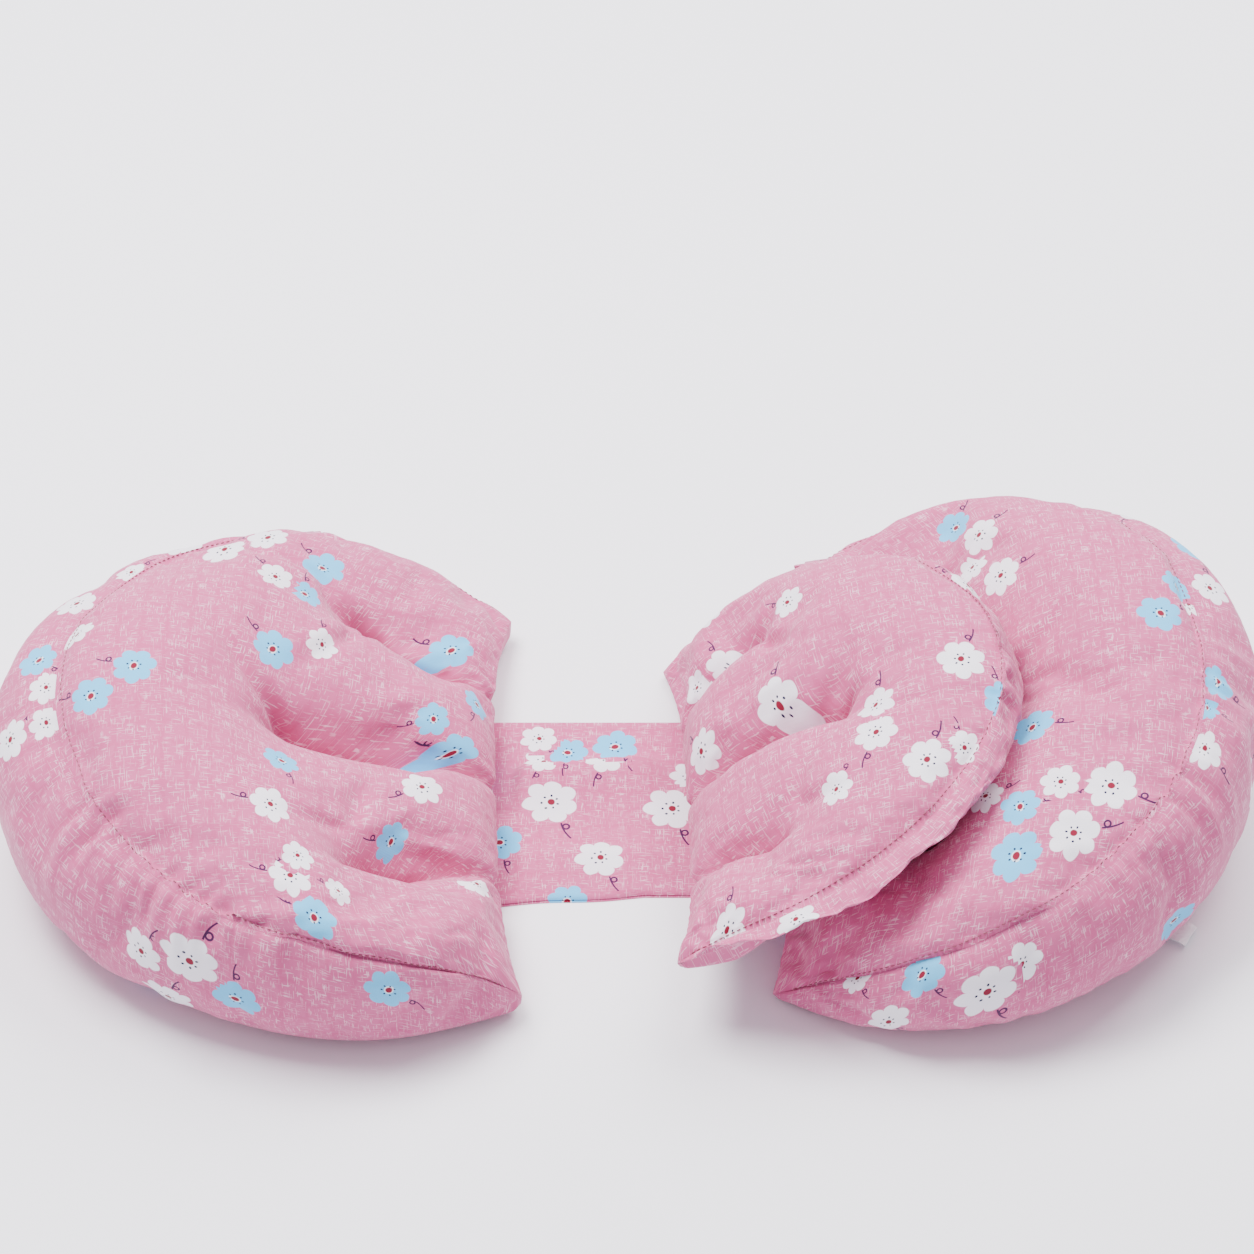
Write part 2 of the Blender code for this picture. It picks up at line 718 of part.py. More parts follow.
belt_root = make_empty("belt_frame", (0, 0, 0))
left_fold = make_empty("left_fold_axis", (LEFT_FOLD_X, BELT_MID_Y, BELT_TOP), belt_root)
left_slide = make_empty("left_slide_axis", (LEFT_FOLD_X, BELT_MID_Y, HOOK_TOP), left_fold)
right_fold = make_empty("right_fold_axis", (RIGHT_FOLD_X, BELT_MID_Y, BELT_TOP), belt_root)
small_flip_place = (RIGHT_FOLD_X - SMALL_HINGE_INSET, BELT_MID_Y, JOINING_STRIP_TOP)
small_flip = make_empty("small_flip_axis", small_flip_place, right_fold)

add_belt()
add_closure()
add_joining_strip()

left_grid = cushion_grid(CUSHIONS["left"])
right_grid = cushion_grid(CUSHIONS["right"], presser=CUSHIONS["small"])
right_skin = skin_bmesh(right_grid)
right_surface = BVHTree.FromBMesh(right_skin)
right_skin.free()
small_grid = cushion_grid(CUSHIONS["small"], rests_on=right_surface)

add_cushion("left", CUSHIONS["left"], left_grid, left_slide)
add_cushion("right", CUSHIONS["right"], right_grid, right_fold)
add_cushion("small", CUSHIONS["small"], small_grid, small_flip)
add_zip("left", CUSHIONS["left"], left_slide)
add_zip("right", CUSHIONS["right"], right_fold)
add_zip("small", CUSHIONS["small"], small_flip)
add_label(CUSHIONS["right"], right_fold)
bpy.context.view_layer.update()
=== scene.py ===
import math

import bmesh
import bpy
import numpy as np
from mathutils import Matrix, Vector, noise
from mathutils.bvhtree import BVHTree


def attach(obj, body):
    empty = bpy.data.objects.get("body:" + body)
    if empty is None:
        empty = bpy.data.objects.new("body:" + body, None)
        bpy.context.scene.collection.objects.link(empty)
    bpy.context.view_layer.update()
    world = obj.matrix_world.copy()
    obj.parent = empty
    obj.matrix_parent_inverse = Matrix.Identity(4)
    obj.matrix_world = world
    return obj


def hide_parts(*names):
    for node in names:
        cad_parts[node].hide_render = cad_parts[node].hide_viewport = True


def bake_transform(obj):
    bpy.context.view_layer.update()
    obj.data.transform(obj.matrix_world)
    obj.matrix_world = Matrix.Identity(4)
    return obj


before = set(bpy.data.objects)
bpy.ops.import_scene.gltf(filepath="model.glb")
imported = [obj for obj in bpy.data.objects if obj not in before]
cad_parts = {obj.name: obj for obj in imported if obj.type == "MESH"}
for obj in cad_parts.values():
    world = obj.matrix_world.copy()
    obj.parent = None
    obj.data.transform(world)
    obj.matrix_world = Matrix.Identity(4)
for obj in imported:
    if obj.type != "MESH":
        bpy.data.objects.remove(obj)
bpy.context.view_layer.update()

bpy.ops.object.select_all(action="DESELECT")


# ---------------------------------------------------------------- printed cotton
# The whole pillow is sewn from one plain-woven cotton, printed after weaving: a dusty pink
# ground, pale broken strokes that make a soft check, and small flowers with a dark red eye.
# It is matt, a little sheeny at grazing angles, and its thread shows as a fine even tooth.


def linear(hex_colour):
    parts = [int(hex_colour[i : i + 2], 16) / 255 for i in (1, 3, 5)]
    parts = [c / 12.92 if c <= 0.04045 else ((c + 0.055) / 1.055) ** 2.4 for c in parts]
    return (*parts, 1.0)


def new_material(name):
    material = bpy.data.materials.new(name)
    material.use_nodes = True
    return material


def add_node(material, kind, settings=None, links=None, output=0):
    """Adds a node with its settings and its linked or plain inputs, and gives one output."""
    made = material.node_tree.nodes.new(kind)
    for key, value in (settings or {}).items():
        setattr(made, key, value)
    for key, value in (links or {}).items():
        if isinstance(value, bpy.types.NodeSocket):
            material.node_tree.links.new(value, made.inputs[key])
        else:
            made.inputs[key].default_value = value
    return made.outputs[output]


def sums(material):
    """A short hand for arithmetic between sockets and numbers in one material."""

    def math_node(operation, *values):
        return add_node(material, "ShaderNodeMath", {"operation": operation}, dict(enumerate(values)))

    return math_node


def step_up(material, value, low, high):
    """0 below low, 1 above high, smooth between."""
    settings = {"interpolation_type": "SMOOTHSTEP"}
    links = {"Value": value, "From Min": low, "From Max": high}
    return add_node(material, "ShaderNodeMapRange", settings, links)


def mix_colour(material, share, first, second):
    links = {0: share, 6: first, 7: second}
    return add_node(material, "ShaderNodeMix", {"data_type": "RGBA"}, links, output=2)


def finish_surface(material, colour, height, strength, depth, rough):
    """Joins up the colour and a relief, sets how rough it is, and gives the shader."""
    shader = material.node_tree.nodes["Principled BSDF"]
    links = {"Strength": strength, "Distance": depth, "Height": height}
    relief = add_node(material, "ShaderNodeBump", {}, links)
    material.node_tree.links.new(colour, shader.inputs["Base Color"])
    material.node_tree.links.new(relief, shader.inputs["Normal"])
    shader.inputs["Roughness"].default_value = rough
    return shader


def separate(material, vector):
    """The three coordinates of a vector."""
    return add_node(material, "ShaderNodeSeparateXYZ", {}, {0: vector}).node.outputs


MM = 1000.0
CHECK_PERIOD = 13.5
FLOWER_PETALS = 7
EYE_DOTS = 7

cotton = new_material("printed_cotton")
m = sums(cotton)
cloth_map = add_node(cotton, "ShaderNodeUVMap", {"uv_map": "cloth"})
cloth_mm = add_node(cotton, "ShaderNodeVectorMath", {"operation": "SCALE"}, {0: cloth_map, "Scale": MM})
across_mm, along_mm, _ = separate(cotton, cloth_mm)


def cloth_noise(place, scale, detail, roughness=0.5, dimensions="2D"):
    settings = {"noise_dimensions": dimensions}
    links = {"Vector": place, "Scale": scale, "Detail": detail, "Roughness": roughness}
    return add_node(cotton, "ShaderNodeTexNoise", settings, links)


def strokes(along_scale, cross_scale, rarity):
    """Broken pale strokes, long one way and fine the other."""
    stretch = {0: cloth_mm, 1: (along_scale, cross_scale, 1.0)}
    place = add_node(cotton, "ShaderNodeVectorMath", {"operation": "MULTIPLY"}, stretch)
    grain = cloth_noise(place, 1.0, 1.0, 0.45)
    return step_up(cotton, grain, rarity, rarity + 0.05)


def bands(coordinate, shift):
    """0 in the plain bands of the check, 1 in the printed blocks between them."""
    always_positive = m("ADD", coordinate, 1000.0 * CHECK_PERIOD + shift)
    share = m("FRACT", m("MULTIPLY", always_positive, 1 / CHECK_PERIOD))
    from_middle = m("ABSOLUTE", m("SUBTRACT", share, 0.5))
    return m("SUBTRACT", 1.0, step_up(cotton, from_middle, 0.36, 0.44))


wander = cloth_noise(cloth_mm, 0.16, 2.0)
wobble = m("MULTIPLY", m("SUBTRACT", wander, 0.5), 5.0)
bands_across = bands(m("ADD", across_mm, wobble), 3.0)
bands_along = bands(m("SUBTRACT", along_mm, wobble), 0.0)
blocks = m("MULTIPLY", bands_across, bands_along)
flat_strokes = strokes(0.14, 1.30, 0.640)
tall_strokes = strokes(1.30, 0.14, 0.640)
both = m("MAXIMUM", flat_strokes, tall_strokes)
patches = cloth_noise(cloth_mm, 0.055, 3.0, 0.65)
density = step_up(cotton, patches, 0.30, 0.68)
inside_blocks = m("ADD", m("MULTIPLY", blocks, 0.42), 0.58)
inside_patches = m("ADD", m("MULTIPLY", density, 0.65), 0.35)
stroke_share = m("MULTIPLY", m("MULTIPLY", both, inside_blocks), inside_patches)
ground = mix_colour(cotton, m("MULTIPLY", blocks, 0.4), linear("#C15484"), linear("#C96592"))
ground = mix_colour(cotton, m("MULTIPLY", stroke_share, 0.74), ground, linear("#EBBBD0"))

# A flower's own coordinates: 1 at its petals' reach, x out along its stem, z 1 for a blue one.
bloom = add_node(cotton, "ShaderNodeAttribute", {"attribute_name": "bloom"}, output="Vector")
bloom_x, bloom_y, bloom_kind = separate(cotton, bloom)
unsteady = cloth_noise(bloom, 1.15, 1.0, dimensions="3D")


def distance(one, two):
    return m("SQRT", m("ADD", m("POWER", one, 2.0), m("POWER", two, 2.0)))


radius = distance(bloom_x, bloom_y)
unsteady_radius = m("ADD", radius, m("MULTIPLY", m("SUBTRACT", unsteady, 0.5), 0.34))
angle = m("ARCTAN2", bloom_y, bloom_x)
lobe = m("POWER", m("ABSOLUTE", m("COSINE", m("MULTIPLY", angle, FLOWER_PETALS / 2))), 0.50)
outline = m("ADD", m("MULTIPLY", lobe, 0.30), 0.68)
petals = step_up(cotton, m("SUBTRACT", outline, unsteady_radius), -0.015, 0.03)
is_blue = m("GREATER_THAN", bloom_kind, 0.5)
petal_colour = mix_colour(cotton, is_blue, linear("#ECE6F0"), linear("#62B7E6"))
eye_edge = m("ADD", unsteady_radius, m("MULTIPLY", bloom_y, 0.10))
eye_ring = step_up(cotton, m("SUBTRACT", 0.19, eye_edge), -0.01, 0.02)
eye = step_up(cotton, m("SUBTRACT", 0.135, eye_edge), -0.02, 0.02)
dot_place = m("ADD", m("MULTIPLY", angle, EYE_DOTS / (2 * math.pi)), EYE_DOTS + 0.5)
dot_turn = m("SUBTRACT", m("FRACT", dot_place), 0.5)
dot_side = m("MULTIPLY", dot_turn, 2 * math.pi / EYE_DOTS * 0.33)
dot_ring = m("ADD", 0.285, m("MULTIPLY", m("SUBTRACT", unsteady, 0.5), 0.25))
dot_gap = distance(dot_side, m("SUBTRACT", radius, dot_ring))
dots = step_up(cotton, m("SUBTRACT", 0.048, dot_gap), -0.012, 0.012)
curl_gap = distance(m("SUBTRACT", bloom_x, 1.26), m("SUBTRACT", bloom_y, 0.13))
from_curl = m("ABSOLUTE", m("SUBTRACT", curl_gap, 0.115))
curl = step_up(cotton, m("SUBTRACT", 0.040, from_curl), -0.01, 0.014)
stem_bend = m("MULTIPLY", m("POWER", m("SUBTRACT", bloom_x, 1.3), 2.0), 0.35)
stem_gap = m("ABSOLUTE", m("SUBTRACT", bloom_y, stem_bend))
stem_line = step_up(cotton, m("SUBTRACT", 0.036, stem_gap), -0.01, 0.014)
stem_reach = m("MULTIPLY", m("GREATER_THAN", bloom_x, 1.04), m("LESS_THAN", bloom_x, 1.86))
stem = m("MAXIMUM", curl, m("MULTIPLY", stem_line, stem_reach))
printed = mix_colour(cotton, stem, ground, linear("#3F1240"))
printed = mix_colour(cotton, petals, printed, petal_colour)
printed = mix_colour(cotton, m("MULTIPLY", eye_ring, 0.8), printed, linear("#F3EEF4"))
printed = mix_colour(cotton, eye, printed, linear("#7C0A2C"))
printed = mix_colour(cotton, dots, printed, linear("#17163A"))

thread_rows = []
for direction in ("X", "Y"):
    settings = {"wave_type": "BANDS", "bands_direction": direction, "wave_profile": "SIN"}
    links = {"Vector": cloth_mm, "Scale": 0.30, "Distortion": 1.2, "Detail": 1.0}
    thread_rows.append(add_node(cotton, "ShaderNodeTexWave", settings, links))
weave = m("MULTIPLY", thread_rows[0], thread_rows[1])
tooth = m("ADD", m("MULTIPLY", weave, 0.5), m("MULTIPLY", both, 0.25))
cotton_shader = finish_surface(cotton, printed, tooth, 0.22, 0.0004, 0.86)
cotton_shader.inputs["Sheen Weight"].default_value = 0.18
cotton_shader.inputs["Sheen Roughness"].default_value = 0.45
cotton_shader.inputs["Specular IOR Level"].default_value = 0.28


# ---------------------------------------------------------------- the large cushions
# Each is a D-shaped bag of printed cotton: a top panel, a bottom panel and a gusset that tapers
# to nothing at both corners, stuffed tight with polyester fibre. On the straight side the two
# panels are sewn together, and three rows of stitching drawn through the filling make four
# fingers there, with a deep dimple at the inner end of each row.

COLUMNS = 144
TOP_ROWS = 46
GUSSET_ROWS = 16
BOTTOM_ROWS = 24
CHANNELS = (-0.5, 0.0, 0.5)
LEAST_HEIGHT = 0.0045
MERGE_REACH = 0.00002
SEAM_GROOVE = 0.0024
UNPRINTED = 9.0

# Sizes in metres, angles in degrees. Shares run from 0 to 1 across a panel from the straight side,
# places from -1 at the front corner to 1 at the back one. The small cushion's sizes stand here
# too, as the right one gives way under it.
LARGE = dict(
    radius=0.195,
    tip_height=0.0165,
    edge_height=0.024,
    ear=0.012,
    lower_seam=0.009,
    stitch_height=0.046,
    nod=0.0,
    tilt=0.0,
    underside_reach=0.135,
    bottom_height=0.0,
    channel_ends=(0.47, 0.47, 0.50),
    valley=0.029,
    rise=(2.3, 0.74),
    flat_fingers=0.0,
    tip_rise=0.0,
)
LEFT = dict(
    LARGE,
    mirrored=True,
    origin=(-0.0662, -0.0338, 0.0),
    turn=2.3,
    centre=0.118,
    aspect=0.841,
    belly=(0.82, 0.90),
    sharpness=(6.5, 1.25),
    seam_height=0.111,
    seam_rise=(0.050, 0.115),
    crown=0.015,
    bulge_middle=0.039,
    bulge_side=0.006,
    flat_fingers=0.85,
    underside=0.0056,
)
RIGHT = dict(
    LARGE,
    mirrored=False,
    origin=(0.0886, -0.0097, 0.0),
    turn=-1.6,
    centre=0.098,
    aspect=0.8485,
    belly=(0.98, 0.87),
    sharpness=(5.2, 2.1),
    seam_height=0.0826,
    seam_rise=(0.184, 0.070),
    crown=0.0065,
    bulge_middle=0.033,
    bulge_side=0.0146,
    tip_height=0.006,
    underside=0.0030,
)
SMALL = dict(
    radius=0.180,
    centre=0.109,
    aspect=0.763,
    belly=(0.51, 0.56),
    sharpness=(9.0, 1.5),
    tip_height=0.002,
    edge_height=-0.002,
    ear=0.010,
    crown=0.010,
    stitch_height=0.020,
    lower_seam=0.012,
    bulge_middle=0.002,
    bulge_side=0.022,
    nod=-9.4,
    tilt=-19.8,
    underside_reach=0.032,
    bottom_height=-0.002,
    channel_ends=(0.42, 0.50, 0.42),
    valley=-0.001,
    rise=(2.6, 0.58),
    flat_fingers=0.0,
    tip_rise=1.0,
    mirrored=False,
    origin=(0.0261, -0.0535, 0.0251),
    turn=1.2,
    seam_height=0.055,
    seam_rise=(-0.026, 0.247),
    underside=-0.018,
)


def eased(share):
    return share * share * (3 - 2 * share)


def across_top(share):
    """How far across the top panel a row lies: the rows crowd together at the straight side."""
    return share ** (1 + 0.9 * (1 - share))


def placing(size):
    """The cushion's place: its frame has x out to the round side and y along the straight one."""
    turn = Matrix.Rotation(math.radians(size["turn"]), 4, "Z")
    nod = Matrix.Rotation(math.radians(size["nod"]), 4, "X")
    tilt = Matrix.Rotation(math.radians(size["tilt"]), 4, "Y")
    mirror = Matrix.Scale(-1, 4, (1, 0, 0)) if size["mirrored"] else Matrix.Identity(4)
    return Matrix.Translation(size["origin"]) @ turn @ nod @ tilt @ mirror


def to_world(size, points):
    matrix = np.array(placing(size))
    return points @ matrix[:3, :3].T + matrix[:3, 3]


def to_cushion(size, points):
    matrix = np.array(placing(size).inverted())
    return points @ matrix[:3, :3].T + matrix[:3, 3]


def half_length(size):
    return size["radius"] * math.sin(math.acos(-size["centre"] / size["radius"]))


def round_side(size, t, outward=0.0):
    """The round side in plan at a place t, from -1 at the front corner to 1 at the back one."""
    tip = math.acos(-size["centre"] / size["radius"])
    angle = t * tip
    semi_x, half = size["radius"] * size["aspect"], half_length(size)
    belly = np.where(t > 0, size["belly"][1], size["belly"][0])
    x = semi_x * (np.cos(angle) + size["centre"] / size["radius"])
    y = half * t + belly * (size["radius"] * np.sin(angle) - half * t)
    slope_x = -semi_x * np.sin(angle) * tip
    slope_y = half * (1 - belly) + belly * size["radius"] * np.cos(angle) * tip
    normal = np.stack([slope_y, -slope_x], axis=-1)
    normal /= np.linalg.norm(normal, axis=-1, keepdims=True)
    return np.stack([x, y], axis=-1) + np.asarray(outward)[..., None] * normal


def fading(size, t):
    return 1 - np.abs(t) ** np.where(t > 0, size["sharpness"][1], size["sharpness"][0])


def gusset_bulge(size, t):
    tip = math.acos(-size["centre"] / size["radius"])
    middle = np.maximum(0.0, np.cos(t * tip)) ** 2
    depth = size["bulge_side"] + (size["bulge_middle"] - size["bulge_side"]) * middle
    return depth * (1 - np.abs(t) ** (6 - 1.5 * size["tip_rise"]))


def seam_levels(size, t):
    arc = round_side(size, t)
    level = size["seam_height"] + arc[..., 0] * size["seam_rise"][0] + arc[..., 1] * size["seam_rise"][1]
    tip = size["tip_height"]
    edge = size["edge_height"] + (tip - size["edge_height"]) * t**4
    top = tip + (level - tip) * fading(size, t)
    lower = tip + (size["lower_seam"] - tip) * fading(size, t)
    return edge, top, lower


def panel_place(size, u, t):
    half = half_length(size)
    notches = sum(np.exp(-(((t - place) / 0.035) ** 2)) for place in CHANNELS)
    edge_x = size["ear"] * (1 - t**4) + 0.006 * notches
    arc = round_side(size, t)
    x = edge_x + u * (arc[..., 0] - edge_x)
    y = half * t + (arc[..., 1] - half * t) * u**1.5
    return np.stack([x, y], axis=-1)


def drawn_down(size, u, t):
    """How far the stitched rows draw the top panel down, from 0 to 1: fingers like half tubes."""
    total = 0.0
    for place, end in zip(CHANNELS, size["channel_ends"]):
        beyond = np.maximum(0.0, u - end) / 0.22
        gap = np.minimum(1.0, np.hypot((t - place) / 0.25, beyond))
        valley = 1 - np.sqrt(1 - (1 - gap) ** (3.3 + 1.4 * np.minimum(1, beyond)))
        total = np.maximum(total, valley * np.minimum(1.0, u / end) ** 0.16)
    return total


def top_level(size, u, t):
    edge, seam, _ = seam_levels(size, t)
    rise = (1 - (1 - u) ** size["rise"][0]) ** size["rise"][1]
    fingers = (1 - (1 - np.minimum(u / 0.2, 1.0)) ** 2.2) ** 0.6
    dome = np.clip((u - 0.22) / 0.62, 0, 1)
    level = 0.32 * fingers + 0.68 * eased(dome)
    rise = rise + (level - rise) * size["flat_fingers"] * (1 - 0.3 * np.clip(t, 0, 1))
    height = edge + (seam - edge) * rise + size["crown"] * fading(size, t) * np.sin(math.pi * u)
    floor = np.minimum(height, size["valley"])
    return height + (floor - height) * drawn_down(size, u, t)


def bottom_level(size, u, t):
    edge, _, lower = seam_levels(size, t)
    x = panel_place(size, u, t)[..., 0]
    ramp = np.clip((x - size["underside_reach"]) / 0.02, 0, 1)
    level = size["underside"] + (size["bottom_height"] - size["underside"]) * ramp
    level = level + (edge - 0.004 - level) * size["tip_rise"] * np.abs(t) ** 3
    level = level + (edge - level) * np.clip(1 - u / 0.07, 0, 1) ** 2.2
    return level + (lower - level) * np.clip((u - 0.84) / 0.16, 0, 1) ** 2


def pressed_depth(points, presser):
    """How far the cushion above presses points down: fully under it, easing off beyond its edge."""
    local = to_cushion(presser, points)
    across = local[..., 0] / (presser["radius"] * presser["aspect"]) - presser["centre"] / presser["radius"]
    widest = np.abs(round_side(presser, np.where(local[..., 1] > 0, 0.7, -0.7))[..., 1])
    reach = np.hypot(across, local[..., 1] / widest)
    cover = np.clip((1.45 - reach) / (1.45 - 0.98), 0, 1)
    lean = placing(presser).col[2].z
    return eased(cover) * np.maximum(0.0, local[..., 2] + 0.008) / lean


def lay_out(size, presser=None, rests_on=None):
    """Rings of points round the cushion: over the top panel, down the gusset and back below."""
    t = np.linspace(-1, 1, COLUMNS + 1)[:, None]
    share = np.linspace(0, 1, TOP_ROWS + 1)[None, :]
    u_top = across_top(share)
    top = np.dstack([panel_place(size, u_top, t), top_level(size, u_top, t)])
    share = np.linspace(0, 1, GUSSET_ROWS + 1)[None, 1:]
    _, seam, lower = seam_levels(size, t)
    out = gusset_bulge(size, t) * (1 - np.abs(2 * share - 1) ** 3.2) ** 0.62
    side = np.dstack([round_side(size, t + 0 * share, out), seam + (lower - seam) * share])
    share = np.linspace(1, 0, BOTTOM_ROWS + 1)[None, 1:-1]
    u_bottom = share ** (1 + 0.6 * (1 - share))
    bottom = np.dstack([panel_place(size, u_bottom, t), bottom_level(size, u_bottom, t)])
    points = to_world(size, np.concatenate([top, side, bottom], axis=1))
    if presser:
        fall = pressed_depth(points[:, 1:TOP_ROWS], presser) * (1 - u_top[:, 1:TOP_ROWS] ** 6)
        points[:, 1:TOP_ROWS, 2] -= fall
    if rests_on:
        lift_clear(points[:, TOP_ROWS + GUSSET_ROWS - 4 :], rests_on)
        lift_clear(points[:, :1], rests_on, 0.003)
        lift_clear(points[:, 1:TOP_ROWS], rests_on, 0.009)
    return points


def lift_clear(points, rests_on, gap=0.0012):
    """Lifts points until they clear the surface that they rest on."""
    for index in np.ndindex(points.shape[:-1]):
        place = points[index]
        hit = rests_on.ray_cast(Vector((place[0], place[1], 1.0)), Vector((0, 0, -1)))[0]
        least = max(LEAST_HEIGHT, hit.z + gap) if hit else LEAST_HEIGHT
        place[2] = max(place[2], least)


def vertex_vectors(mesh, kind="co"):
    values = np.empty(len(mesh.vertices) * 3)
    mesh.vertices.foreach_get(kind, values)
    return values.reshape(-1, 3)


def vertex_values(mesh, name):
    values = np.empty(len(mesh.vertices))
    mesh.attributes[name].data.foreach_get("value", values)
    return values


def shaped_grid(name, points):
    """A grid shaped to rings of points, its first and last rows together, ready to be sewn."""
    columns, ring = points.shape[0] - 1, points.shape[1]
    bpy.ops.mesh.primitive_grid_add(x_subdivisions=ring, y_subdivisions=columns, size=1.0)
    piece = bpy.context.object
    piece.name = piece.data.name = name
    flat = vertex_vectors(piece.data)
    row = np.rint((flat[:, 0] + 0.5) * ring).astype(int)
    column = np.rint((flat[:, 1] + 0.5) * columns).astype(int)
    piece.data.vertices.foreach_set("co", points[column, row % ring].ravel())
    return piece, row, column


def sew_shut(piece, close_ends=False):
    """Sews the open edges of a shaped grid together and points its faces outwards."""
    bpy.ops.object.select_all(action="DESELECT")
    piece.select_set(True)
    bpy.context.view_layer.objects.active = piece
    bpy.ops.object.mode_set(mode="EDIT")
    bpy.ops.mesh.select_all(action="SELECT")
    bpy.ops.mesh.remove_doubles(threshold=MERGE_REACH)
    if close_ends:
        bpy.ops.mesh.select_all(action="DESELECT")
        bpy.ops.mesh.select_non_manifold()
        bpy.ops.mesh.edge_face_add()
        bpy.ops.mesh.select_all(action="SELECT")
    bpy.ops.mesh.normals_make_consistent(inside=False)
    bpy.ops.object.mode_set(mode="OBJECT")


def new_cloth_layer(mesh):
    for layer in list(mesh.uv_layers):
        mesh.uv_layers.remove(layer)
    return mesh.uv_layers.new(name="cloth")


def cloth_coordinates(size, points):
    """Where each point lies on the flat cloth: along and across its own panel, in metres."""
    steps = np.linalg.norm(np.diff(points, axis=1), axis=2)
    run = np.concatenate([np.zeros((len(points), 1)), np.cumsum(steps, axis=1)], axis=1)
    anchor = int(TOP_ROWS * 0.75)
    t = np.linspace(-1, 1, COLUMNS + 1)[:, None]
    share = np.linspace(0, 1, TOP_ROWS + 1)[None, :]
    plan = panel_place(size, across_top(share), t)
    top = np.empty((COLUMNS + 1, TOP_ROWS + 1, 2))
    top[..., 0] = plan[:, anchor : anchor + 1, 0] + run[:, : TOP_ROWS + 1] - run[:, anchor : anchor + 1]
    top[..., 1] = plan[..., 1]
    seam = points[:, TOP_ROWS]
    along = np.concatenate([[0.0], np.cumsum(np.linalg.norm(np.diff(seam, axis=0), axis=1))])
    along -= along[COLUMNS // 2]
    side = np.empty((COLUMNS + 1, GUSSET_ROWS + 1, 2))
    side[..., 0] = along[:, None]
    side[..., 1] = -(run[:, TOP_ROWS : TOP_ROWS + GUSSET_ROWS + 1] - run[:, TOP_ROWS : TOP_ROWS + 1])
    low = points[:, TOP_ROWS + GUSSET_ROWS :]
    low = np.concatenate([low, points[:, :1]], axis=1)
    under = to_cushion(size, low)[..., :2] * (1, -1)
    return {"top": top, "gusset": side, "bottom": under}


PANEL_SHIFT = {"top": (0.0, 0.0), "gusset": (3.0, 0.0), "bottom": (6.0, 0.0)}


def write_cloth_map(bag, row, column, cloth):
    """The cloth map, corner by corner, so that each panel keeps its own grain at the seams."""
    mesh = bag.data
    layer = new_cloth_layer(mesh)
    first_rows = {"top": 0, "gusset": TOP_ROWS, "bottom": TOP_ROWS + GUSSET_ROWS}
    for face in mesh.polygons:
        lowest = row[list(face.vertices)].min()
        panel = [name for name, first in first_rows.items() if first <= lowest][-1]
        for corner, vertex in zip(face.loop_indices, face.vertices):
            place = cloth[panel][column[vertex], row[vertex] - first_rows[panel]]
            layer.data[corner].uv = place + PANEL_SHIFT[panel]


FILLING_FRAMES = 20
FILLING = dict(
    quality=5,
    mass=0.25,
    tension_stiffness=20,
    compression_stiffness=20,
    shear_stiffness=8,
    bending_stiffness=0.4,
    use_pressure=True,
    uniform_pressure_force=4.0,
    vertex_group_mass="held",
    pin_stiffness=1.0,
    vertex_group_shrink="tight",
    shrink_min=-0.045,
    shrink_max=0.01,
)


def swell(bag, held, tight, cap):
    """Fills the bag: cloth under pressure, held where it is stitched, moving no farther than cap."""
    for name, weights in (("held", held), ("tight", tight)):
        group = bag.vertex_groups.new(name=name)
        for index, weight in enumerate(weights):
            group.add([index], float(weight), "REPLACE")
    bpy.context.view_layer.objects.active = bag
    bpy.ops.object.modifier_add(type="CLOTH")
    cloth = bag.modifiers[-1]
    for setting, value in FILLING.items():
        setattr(cloth.settings, setting, value)
    cloth.settings.effector_weights.gravity = 0
    cloth.point_cache.frame_start = 1
    cloth.point_cache.frame_end = FILLING_FRAMES
    for number in range(1, FILLING_FRAMES + 1):
        bpy.context.scene.frame_set(number)
    before = vertex_vectors(bag.data)
    shaped = bag.evaluated_get(bpy.context.evaluated_depsgraph_get()).data
    move = vertex_vectors(shaped) - before
    length = np.linalg.norm(move, axis=1, keepdims=True)
    move *= np.minimum(1.0, cap[:, None] / np.maximum(length, 1e-9))
    bag.modifiers.remove(cloth)
    bag.vertex_groups.clear()
    bag.data.vertices.foreach_set("co", (before + move).ravel())
    bpy.context.scene.frame_set(1)


# Each zip runs round a circle: its centre, the way its axis points, and the radius of the gusset.
ZIPS = {
    "left": ((-0.16355, -0.05037, 0.0497), (0.0, 0.0, 1.0), 0.2110),
    "right": ((0.16707, -0.01878, 0.05244), (0.0, 0.0, 1.0), 0.2047),
    "small": ((0.0732, -0.03649, 0.07303), (-0.3419, 0.1465, 0.9282), 0.1581),
}


def zip_angles(side):
    """Where the zip's coil starts and ends round its circle, as seen from its centre."""
    centre, axis, radius = ZIPS[side]
    axis = Vector(axis).normalized()
    first = Vector((0.0, 1.0, 0.0)) - axis * axis.y
    first.normalize()
    second = axis.cross(first)
    coil = bpy.data.objects[f"{side}_zip_coil"]
    places = [coil.matrix_world @ vertex.co - Vector(centre) for vertex in coil.data.vertices]
    angles = [math.atan2(place.dot(second), place.dot(first)) for place in places]
    return Vector(centre), axis, first, second, radius, min(angles), max(angles)


